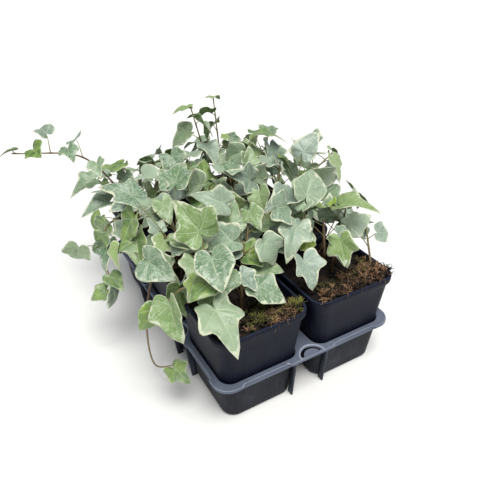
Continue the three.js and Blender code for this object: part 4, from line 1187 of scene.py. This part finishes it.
def outline_reach(angle, lobed):
    """How far a leaf's edge is at an angle from its tip, in leaf lengths: between a lobed outline and a
    plain one, each a smooth line over a few points that is the same on both sides."""
    fine = np.radians(np.arange(181))
    bell = np.hanning(OUTLINE_SOFTENING + 2)[1:-1]
    reaches = []
    for points in (OUTLINE_PLAIN, OUTLINE_LOBED):
        rough = np.interp(fine, OUTLINE_ANGLES, points)
        wide = np.pad(rough, OUTLINE_SOFTENING // 2, mode="reflect")
        soft = np.convolve(wide, bell / bell.sum(), "valid")
        reaches.append(np.interp(np.abs(angle), fine, soft))
    share = lobed[:, None]
    return reaches[0] * (1 - share) + reaches[1] * share


def turned(one, other, angle):
    """Two directions at right angles, turned in their own plane."""
    return one * np.cos(angle) + other * np.sin(angle), other * np.cos(angle) - one * np.sin(angle)


def tilt_leaf(leaf, roll, pitch):
    """Rolls a leaf about its midrib, and then tips it up or down about the end of its stalk."""
    leaf["across"], leaf["face"] = turned(leaf["across"], leaf["face"], roll)
    leaf["along"], leaf["face"] = turned(leaf["along"], leaf["face"], pitch)


def of_leaves(leaves, *keys):
    """What leaves have under each of some keys, as arrays."""
    return [np.array([leaf[key] for leaf in leaves]) for key in keys]


def leaf_shapes(leaves, rng, settings):
    """Blades as thin closed sheets. A point lies at an angle from the tip and a share of the way to the
    edge. Its rise is a fold up from the midrib, rounded there, and a droop with the square of the way
    along, both from leaf to leaf a little other than the model's, plus a twist, waves that grow towards the
    edge, an edge and a tip that curl, and grooves along the main veins."""
    count, around, rings = len(leaves), BLADE_AROUND, BLADE_RINGS
    span = lambda low, high: rng.uniform(low, high, (count, 1, 1))
    lobed, size, place = of_leaves(leaves, "lobed", "size", "place")
    angle = np.pi * np.linspace(-1, 1, around, endpoint=False)
    angle = angle + AROUND_BIAS * np.sin(2 * angle)
    share = np.linspace(0, 1, rings + 1)[1:] ** RING_BIAS
    uneven = np.ones((count, 1))
    for times, height in EDGE_SWAY:
        uneven = uneven + height * np.sin(times * angle + rng.uniform(0, 6.3, (count, 1)))
    reach = outline_reach(angle, lobed) * uneven
    far = share[:, None] * reach[:, None]
    across, along = far * np.sin(angle) * span(*settings.widths), far * np.cos(angle)
    phase = rng.uniform(0, 2 * np.pi, (len(EDGE_WAVES), count, 1, 1))
    terms = zip(phase, EDGE_WAVES)
    waves = sum(height * np.sin(times * angle + start) for start, (times, height) in terms)
    rise = span(*settings.folds) * (np.sqrt(across**2 + MIDRIB_ROUND**2) - MIDRIB_ROUND)
    rise = rise - span(*settings.droops) * along * np.abs(along)
    rise = rise + settings.wave * span(*WAVE_SHARES) * waves * (share**2)[:, None]
    rise = rise - span(*EDGE_CURLS) * (share**4)[:, None] * far
    rise = rise + span(*TWISTS) * across * along + span(*TIP_CURLS) * np.clip(along - 0.5, 0, 1) ** 2
    for degrees, depth in zip(VEIN_ANGLES, VEIN_DEPTHS):
        off = far * np.sin(np.abs(angle) - np.radians(degrees))
        rise = rise - depth * np.exp(-((off / GROOVE_WIDTH) ** 2)) * np.clip(far * 8, 0, 1)
    flat = np.stack([across, along, rise], axis=-1).reshape(count, -1, 3)
    flat = np.concatenate([np.zeros((count, 1, 3)), flat], axis=1)
    ways = np.stack(of_leaves(leaves, "across", "along", "face"), axis=1)
    size = size[:, None, None] * settings.growth
    middle = place[:, None] + size * np.einsum("npi,nij->npj", flat, ways)
    thin = settings.thickness / MM * np.concatenate([[1.0], np.repeat(1 - EDGE_THIN * share, around)])
    lift = ways[:, None, 2] * (thin / 2)[:, None]
    points = np.concatenate([middle + lift, middle - lift], axis=1)
    half = 1 + rings * around
    sheet = 1 + grid_faces(rings, around)
    ring, rim = 1 + np.arange(around), half - around + np.arange(around)
    after = np.roll(rim, -1)
    top, below = [sheet, fan_faces(0, ring)], [half + sheet[:, ::-1], half + fan_faces(0, ring, flip=True)]
    wall = np.stack([rim, after, half + after, half + rim], axis=1)
    faces = [repeat_faces(face, count, 2 * half) for face in (*top, *below, wall)]
    edge = np.tile(np.concatenate([[0.0], np.repeat(share, around)]), 2)
    numbers = {"edge": np.tile(edge, count), "under": np.tile(np.repeat([0.0, 1.0], half), count)}
    for key in ("lime", "green", "tone"):
        numbers[key] = np.repeat(*of_leaves(leaves, key), 2 * half)
    uv = np.concatenate([flat[..., :2], flat[..., :2]], axis=1).reshape(-1, 2) * UV_SCALE + UV_MIDDLE
    return points.reshape(-1, 3), faces, numbers, uv


def stalk_paths(leaves):
    """The way of each stalk: from its stem, arching a little upwards, to the blade's middle, where it runs
    on a short way under the midrib. The arch is a cubic curve over four points."""
    start, place, along, face, size = of_leaves(leaves, "start", "place", "along", "face", "size")
    length = np.linalg.norm(place - start, axis=1)[:, None]
    under = place - face * 0.35
    end = under + along * (0.07 * size[:, None])
    control_a = start + (under - start) * 0.35 + np.array([0, 0, 0.09]) * length
    control_b = under - (along * 0.5 + face * 0.3) * 0.22 * length
    t = np.linspace(0, 1, STALK_STEPS)[None, :, None]
    a, b, c, d = (p[:, None] for p in (start, control_a, control_b, end))
    return a * (1 - t) ** 3 + 3 * b * t * (1 - t) ** 2 + 3 * c * t**2 * (1 - t) + d * t**3


def stem_shape(plant, rng, settings):
    """A stem: a tube along its way that gets thinner to the tip and thickens a little where leaves grow,
    and a thin stalk to each leaf."""
    way = plant["way"]
    steps = int(lengths_along(way)[-1] / STEM_TUBE_STEP)
    path = spaced_along(way, steps)[None]
    t = np.linspace(0, 1, steps + 1)
    radius = settings.stem_radius / MM * (1 - 0.5 * t)
    for leaf in plant["leaves"]:
        radius = radius + KNOT_HEIGHT * np.exp(-(((t - leaf["share"]) * steps / KNOT_LENGTH) ** 2))
    sideways = heading(plant["lean"] + np.pi / 2)[None]
    stem = tubes(path, radius[None], STEM_SIDES, sideways)
    stem_tone = np.full(len(stem[0]), rng.uniform(0.35, 0.8))
    paths = stalk_paths(plant["leaves"])
    along = np.linspace(0, 1, STALK_STEPS)
    taper = 1.25 - 0.55 * along**0.5
    taper[-1] = STALK_END
    (sizes,) = of_leaves(plant["leaves"], "size")
    radii = settings.stalk_radius / MM * np.outer(0.7 + 0.3 * sizes / sizes.max(), taper)
    stalks = tubes(paths, radii, STALK_SIDES, heading(rng.uniform(0, 2 * np.pi, len(paths)), 0.3))
    stalk_age = np.tile(np.repeat(0.5 + 0.5 * along, STALK_SIDES), len(paths))
    stalk_tone = np.repeat(rng.random(len(paths)), STALK_STEPS * STALK_SIDES)
    age = np.concatenate([np.repeat(0.15 + 0.6 * t, STEM_SIDES), stalk_age])
    points, faces = merge_shapes([stem, stalks])
    return points, faces, {"age": age, "tone": np.concatenate([stem_tone, stalk_tone])}


def node_names():
    """The model's node of each stem: its pot's digits, and its place among the stems of that pot."""
    counted, names = {}, []
    for stem in STEMS:
        counted[stem["pot"]] = counted.get(stem["pot"], 0) + 1
        names.append(f"ivy_stem_{stem['pot']}_{counted[stem['pot']]}")
    return names


SMALL_LEAF, LARGE_LEAF, YOUNG_SHARE, LOW_LEAF = 14.0, 22.0, LAST_NODE - 0.03, POT_TOP - 12.0
LIME_BELOW, YOUNG_LIME_BELOW, GREEN_ABOVE, HANGING_GREEN_ABOVE = 0.24, 0.6, 0.9, 0.3


def dye_leaf(leaf, hangs, rng):
    """Draws how lime, how plainly green, how dark and how lobed a leaf is. Young leaves at the tips are
    often lime, and small leaves that hang are often green. A large leaf at a tip is fully lobed."""
    kind, pale, plain, leaf["tone"] = (float(value) for value in rng.random(4))
    young, large = leaf["share"] > YOUNG_SHARE, leaf["size"] > LARGE_LEAF
    hangs = hangs or leaf["place"][2] < LOW_LEAF
    often_lime = kind < (YOUNG_LIME_BELOW if young and not large else LIME_BELOW)
    often_green = kind > GREEN_ABOVE or hangs and not large and (young or kind > HANGING_GREEN_ABOVE)
    leaf["lime"] = (0.35 + 0.65 * pale) * min(1.0, SMALL_LEAF / leaf["size"]) if often_lime else 0.15 * pale
    leaf["green"] = 0.65 + 0.35 * plain if often_green else 0.0
    lobed = float(rng.beta(1.3, 0.9))
    leaf["lobed"] = 1.0 if young and large else lobed


# Settings.


def number_setting(name, description, default, **kind):
    """A property for a number."""
    return bpy.props.FloatProperty(name=name, description=description, default=default, **kind)


def count_setting(name, description, default):
    """A property for a whole number."""
    return bpy.props.IntProperty(name=name, description=description, default=default, min=0)


def range_setting(name, description, low, high):
    """A property for the two ends of a range."""
    return bpy.props.FloatVectorProperty(name=name, description=description, default=(low, high), size=2)


def length_setting(name, description, default):
    """A property for a length in metres."""
    return number_setting(name, description, default, min=0.0, unit="LENGTH")


def colour_setting(name, description, text):
    """A property for a colour."""
    kind = {"subtype": "COLOR", "min": 0.0, "max": 1.0}
    return bpy.props.FloatVectorProperty(name=name, description=description, default=colour(text), **kind)


class PlasticSettings(bpy.types.PropertyGroup):
    """The tray's thickness, and the colours of tray, fins and pots"""

    thickness: length_setting("Sheet", "Thickness of the tray's sheet", 1.2 * MM)
    tray: colour_setting("Tray", "Colour of the tray's plastic", "10131c")
    # Dust on the tray, and the painted light on its top and lip.
    tray_dust_and_light: colour_setting("Tray dust", "Colour of the tray where it faces up", "6e7687")
    # Painted highlight on the tray's bead and half rings.
    tray_edge_highlight: colour_setting("Tray edge", "Colour of the tray's bead and half rings", "a3acbd")
    # Painted light: the fins are the tray's own plastic, given a lighter colour as if lit.
    lit_fin: colour_setting("Fins", "Colour of the fins under the tray", "2c303b")
    pot: colour_setting("Pot", "Colour of the pots' plastic", "070b1d")
    # Dust on the pots, and the painted highlight along the top of their rims.
    pot_dust_and_highlight: colour_setting("Pot dust", "Colour of dust on the pots", "252c3f")


class SoilSettings(bpy.types.PropertyGroup):
    """The colours of soil, fibres and moss, and how much lies there"""

    dark: colour_setting("Dark", "Colour of damp soil", "0d0906")
    brown: colour_setting("Brown", "Colour of dry soil and bark", "2e1e15")
    speck: colour_setting("Specks", "Colour of the pale bits", "6b5040")
    moss: colour_setting("Moss film", "Colour of the moss on the crumbs", "2f3012")
    fibre_dark: colour_setting("Fibre, dark", "Colour of the darkest fibres", "180e08")
    fibre_pale: colour_setting("Fibre, pale", "Colour of the palest fibres", "ab8566")
    fibre_tip: colour_setting("Fibre tips", "Colour at the fibres' ends", "c49a72")
    moss_dark: colour_setting("Moss, dark", "Colour of the darkest moss", "0f1108")
    moss_pale: colour_setting("Moss, pale", "Colour of the palest moss", "72752f")
    moss_tip: colour_setting("Moss tips", "Colour at the moss's ends", "a9a557")
    crumbs: count_setting("Crumbs", "How many loose crumbs lie on the soil", 2600)
    seed: count_setting("Seed", "Start of the random draws", 4)


class PlantSettings(bpy.types.PropertyGroup):
    """The sizes, bends and colours of leaves, stalks and stems"""

    filler_rounds: count_setting("Filler leaves", "How many smaller leaves each stem tries to add", 7)
    thickness: length_setting("Blade", "Thickness of a leaf at its middle", 0.45 * MM)
    stem_radius: length_setting("Stem", "Radius of a stem at its foot", 1.25 * MM)
    stalk_radius: length_setting("Stalk", "Radius of a leaf's stalk", 0.5 * MM)
    wave: number_setting("Wave", "Height of the edge's waves, in leaf lengths", 0.04)
    folds: range_setting("Fold", "Least and most slope of a leaf's halves up from its midrib", 0.1, 0.66)
    droops: range_setting("Droop", "Least and most droop of a leaf's tip, in leaf lengths", 0.05, 0.4)
    widths: range_setting("Width", "Least and most width, as a share of the model's", 0.86, 1.08)
    growth: number_setting("Growth", "Leaf length as a share of the model's", 1.1)
    tilt: number_setting("Tilt", "Usual turn of a leaf away from the model's", 0.38, subtype="ANGLE")
    margin_width: number_setting("Margin", "Usual width of the margin, as a share of the way out", 0.032)
    grey_green: colour_setting("Grey-green", "Palest green of the leaf's centre", "a3b89d")
    deep_green: colour_setting("Deep green", "Darkest green of the leaf's centre", "587a5c")
    silver: colour_setting("Silver", "Colour of the silvery flecks", "bdc9b8")
    # Painted shade: the blue-grey of leaves in shadow, given to some leaves at random.
    shaded_blue_grey: colour_setting("Blue-grey", "Tint of the bluish leaves", "8b9b9d")
    green: colour_setting("Plain green", "Colour of leaves without a margin", "4d702c")
    lime: colour_setting("Lime", "Colour of young leaves", "97b24b")
    cream: colour_setting("Cream", "Colour of the margin", "d5dabf")
    vein: colour_setting("Vein", "Colour of the veins", "c6d2ae")
    underside: colour_setting("Underside", "Colour of the leaf's back", "6f8753")
    bark: colour_setting("Bark", "Colour of a stem's foot", "4f3a29")
    stalk_red: colour_setting("Red stalk", "Colour of the reddest stalks", "80604a")
    stalk_green: colour_setting("Green stalk", "Colour of the greenest stalks", "9aa36c")
    seed: count_setting("Seed", "Start of the random draws", 12)


class StageSettings(bpy.types.PropertyGroup):
    """The floor and the light"""

    floor: colour_setting("Floor", "Colour of the floor", "fafaf9")
    sky: number_setting("Sky", "Strength of the light from all round", 0.4)
    key: number_setting("Main light", "Strength of the main light", 2.9)
    spread: number_setting("Spread", "How wide the main light is in the sky", 0.6, subtype="ANGLE")


class IvySettings(bpy.types.PropertyGroup):
    """All settings, a group to each kind of piece"""

    plastic: bpy.props.PointerProperty(type=PlasticSettings)
    soil: bpy.props.PointerProperty(type=SoilSettings)
    plants: bpy.props.PointerProperty(type=PlantSettings)
    stage: bpy.props.PointerProperty(type=StageSettings)


# Operators.


class IVY_OT_tray(bpy.types.Operator):
    """Makes the carry tray: a thin moulded sheet with six pockets, a lip, half rings, slits and fins"""

    bl_idname = "ivy.tray"
    bl_label = "Carry tray"

    def execute(self, context):
        settings = context.scene.ivy.plastic
        # The tray is lighter above the lip's foot, partly dust and partly painted light on its lit top; the
        # bead and the half rings above its top get a painted highlight.
        heights = metres_up(TRAY_TOP - LIP_DEPTH - 0.3), metres_up(TRAY_TOP + 0.15)
        shades = settings.tray, settings.tray_dust_and_light, settings.tray_edge_highlight
        finish = moulded_plastic("tray_plastic", *shades, *heights, streaks=0.05, roughness=0.5)
        place_piece("tray_shell", tray_mesh(settings.thickness), finish, "tray", "carry_tray")
        # The fins are the tray's own plastic in a lighter colour: painted light where they face the light.
        shades = settings.lit_fin, settings.tray_dust_and_light, settings.tray_edge_highlight
        finish = moulded_plastic("lit_fin_plastic", *shades, *heights, streaks=0.25, roughness=0.5)
        fins = [fin_shape(at, side) for at in junctions() for side in (-1, 1)]
        place_piece("tray_fins", make_mesh("tray_fins", *merge_shapes(fins)), finish, "tray")
        return {"FINISHED"}


class IVY_OT_pots(bpy.types.Operator):
    """Makes the six square pots"""

    bl_idname = "ivy.pots"
    bl_label = "Pots"

    def execute(self, context):
        settings = context.scene.ivy.plastic
        # The top half millimetre of each rim turns the dust colour: a painted highlight along the rim.
        rim = metres_up(POT_TOP - 0.5)
        shades = settings.pot, settings.pot_dust_and_highlight, settings.pot_dust_and_highlight
        finish = moulded_plastic("pot_plastic", *shades, rim, rim + 1.0, streaks=0.3, roughness=0.48)
        for cell in CELLS:
            name = f"pot_{label_of(cell)}"
            mesh = make_mesh(name, *pot_shape(cell))
            mesh.set_sharp_from_angle(angle=POT_SHARP)
            place_piece(f"{name}_shell", mesh, finish, "pot", name)
        return {"FINISHED"}


class IVY_OT_soil(bpy.types.Operator):
    """Makes the soil in each pot, with loose crumbs on it"""

    bl_idname = "ivy.soil"
    bl_label = "Soil"

    def execute(self, context):
        settings = context.scene.ivy.soil
        finish = soil_finish(settings)
        for cell in CELLS:
            name = f"soil_{label_of(cell)}"
            place_piece(f"{name}_crumb", make_mesh(name, *soil_shape(cell)), finish, "soil", name)
        rng = np.random.default_rng(settings.seed)
        mesh = make_mesh("loose_crumbs", *crumb_shapes(rng, settings.crumbs))
        place_piece("loose_crumbs", mesh, finish, "soil")
        return {"FINISHED"}


class IVY_OT_litter(bpy.types.Operator):
    """Makes the dead fibres and the moss that lie on the soil and over the front rims"""

    bl_idname = "ivy.litter"
    bl_label = "Fibres and moss"

    def execute(self, context):
        settings = context.scene.ivy.soil
        rng = np.random.default_rng(settings.seed + 1)
        fibre = strand_finish("dead_fibre", settings.fibre_dark, settings.fibre_pale, settings.fibre_tip)
        moss = strand_finish("moss", settings.moss_dark, settings.moss_pale, settings.moss_tip)
        for name, shape, finish in (("fibres", fibre_shape, fibre), ("moss_tufts", moss_shape, moss)):
            place_piece(name, make_mesh(name, *shape(rng)), finish, "moss")
        return {"FINISHED"}


class IVY_OT_plants(bpy.types.Operator):
    """Grows the leafy stems: a tube with its stalks, and the blades, for each of the model's stems"""

    bl_idname = "ivy.plants"
    bl_label = "Ivy"

    def execute(self, context):
        settings = context.scene.ivy.plants
        rng = np.random.default_rng(settings.seed)
        stem_material, leaf_material = stem_finish(settings), leaf_finish(settings)
        for name, stem, plant in zip(node_names(), STEMS, grow_plants(settings.filler_rounds)):
            for leaf in plant["leaves"]:
                tilt_leaf(leaf, *rng.normal(0, settings.tilt, 2))
                dye_leaf(leaf, stem.get("hangs", False), rng)
            mesh = make_mesh(f"{name}_stalks", *stem_shape(plant, rng, settings))
            place_piece(f"{name}_stalks", mesh, stem_material, "stem", name)
            *blades, uv = leaf_shapes(plant["leaves"], rng, settings)
            mesh = make_mesh(f"{name}_blades", *blades)
            set_uv(mesh, "blade", uv)
            place_piece(f"{name}_blades", mesh, leaf_material, "leaf", name)
        return {"FINISHED"}


# The camera of the photograph: angles in degrees, distance and target in the tray's millimetres.
CAMERA = {"azimuth": -28.563, "elevation": 32.137, "roll": -1.792, "distance": 412.903}
CAMERA_TARGET, FOCAL_PIXELS, PICTURE_PIXELS = (48.899, 48.012, 154.341), 521.345, 480
FLOOR_HALF, FLOOR_GAP, TOWARD_KEY = 6000.0, 0.2, (-0.05, -0.38, 0.92)
KEY_TINT, SKY_TINT = (1.0, 0.985, 0.95), (0.94, 0.97, 1.0, 1.0)


def turn_of(right, up, back):
    """The turn of something that looks against back, with right and up as its own."""
    return Matrix(np.column_stack([right, up, back]).tolist()).to_4x4()


def add_sun(name, strength, spread, toward, tint):
    """A soft far light in a direction, as wide in the sky as its spread."""
    data = bpy.data.lights.new(name, "SUN")
    data.energy, data.angle, data.color = strength, spread, tint
    back = unit(np.array(toward, float))
    right = unit(np.cross((0, 0, 1), back))
    add_object(name, data).matrix_world = turn_of(right, np.cross(back, right), back)


class IVY_OT_stage(bpy.types.Operator):
    """Makes the floor, the soft lights and the camera at the photograph's angle"""

    bl_idname = "ivy.stage"
    bl_label = "Stage"

    def execute(self, context):
        scene = context.scene
        settings = scene.ivy.stage
        finish = Finish("floor", Roughness=0.8)
        grain = finish.noise(finish.place(), 6.0, 2.0)
        pale = [part * 0.985 for part in settings.floor]
        finish.paint(Base_Color=finish.mix(grain, settings.floor, (*pale, 1.0)))
        far, low = FLOOR_HALF, -FLOOR_GAP
        corners = np.array([(-far, -far, low), (far, -far, low), (far, far, low), (-far, far, low)])
        floor = add_object("floor", make_mesh("floor", corners, [np.arange(4)[None]]))
        floor.data.materials.append(finish.material)

        world = bpy.data.worlds.new("sky")
        world.use_nodes = True
        background = world.node_tree.nodes["Background"]
        background.inputs["Color"].default_value = SKY_TINT
        background.inputs["Strength"].default_value = settings.sky
        scene.world = world
        add_sun("key", settings.key, settings.spread, TOWARD_KEY, KEY_TINT)

        azimuth, elevation, roll = (np.radians(CAMERA[key]) for key in ("azimuth", "elevation", "roll"))
        level = heading(azimuth - np.pi / 2) * np.cos(elevation)
        back = level + (0, 0, np.sin(elevation))
        right, up = turned(heading(azimuth), np.cross(back, heading(azimuth)), roll)
        data = bpy.data.cameras.new("camera")
        data.lens = FOCAL_PIXELS / PICTURE_PIXELS * data.sensor_width
        data.clip_start = 0.01
        scene.camera = add_object("camera", data)
        place = to_model(np.array(CAMERA_TARGET) + back * CAMERA["distance"])
        scene.camera.matrix_world = Matrix.Translation(place) @ turn_of(right, up, back)
        scene.view_settings.view_transform = "Standard"
        return {"FINISHED"}


STEPS = (IVY_OT_stage, IVY_OT_tray, IVY_OT_pots, IVY_OT_soil, IVY_OT_litter, IVY_OT_plants)


class IVY_PT_panel(bpy.types.Panel):
    """Lists the steps and their settings"""

    bl_idname = "IVY_PT_panel"
    bl_label = "Potted Ivy"
    bl_space_type = "VIEW_3D"
    bl_region_type = "UI"
    bl_category = "Potted Ivy"

    def draw(self, context):
        """Shows a button for each step, and then the settings."""
        for step in STEPS:
            self.layout.operator(step.bl_idname)
        for group in ("plastic", "soil", "plants", "stage"):
            box = self.layout.box()
            box.label(text=group.title())
            settings = getattr(context.scene.ivy, group)
            for name in settings.__annotations__:
                box.prop(settings, name)


CLASSES = (PlasticSettings, SoilSettings, PlantSettings, StageSettings, IvySettings, *STEPS, IVY_PT_panel)


def register():
    """Registers the classes and gives the scene its settings."""
    for item in CLASSES:
        bpy.utils.register_class(item)
    bpy.types.Scene.ivy = bpy.props.PointerProperty(type=IvySettings)


def unregister():
    """Takes the settings and the classes away again."""
    del bpy.types.Scene.ivy
    for item in reversed(CLASSES):
        bpy.utils.unregister_class(item)


def main():
    register()
    bpy.ops.ivy.stage()
    bpy.ops.ivy.tray()
    bpy.ops.ivy.pots()
    bpy.ops.ivy.soil()
    bpy.ops.ivy.litter()
    bpy.ops.ivy.plants()


if __name__ == "__main__":
    main()
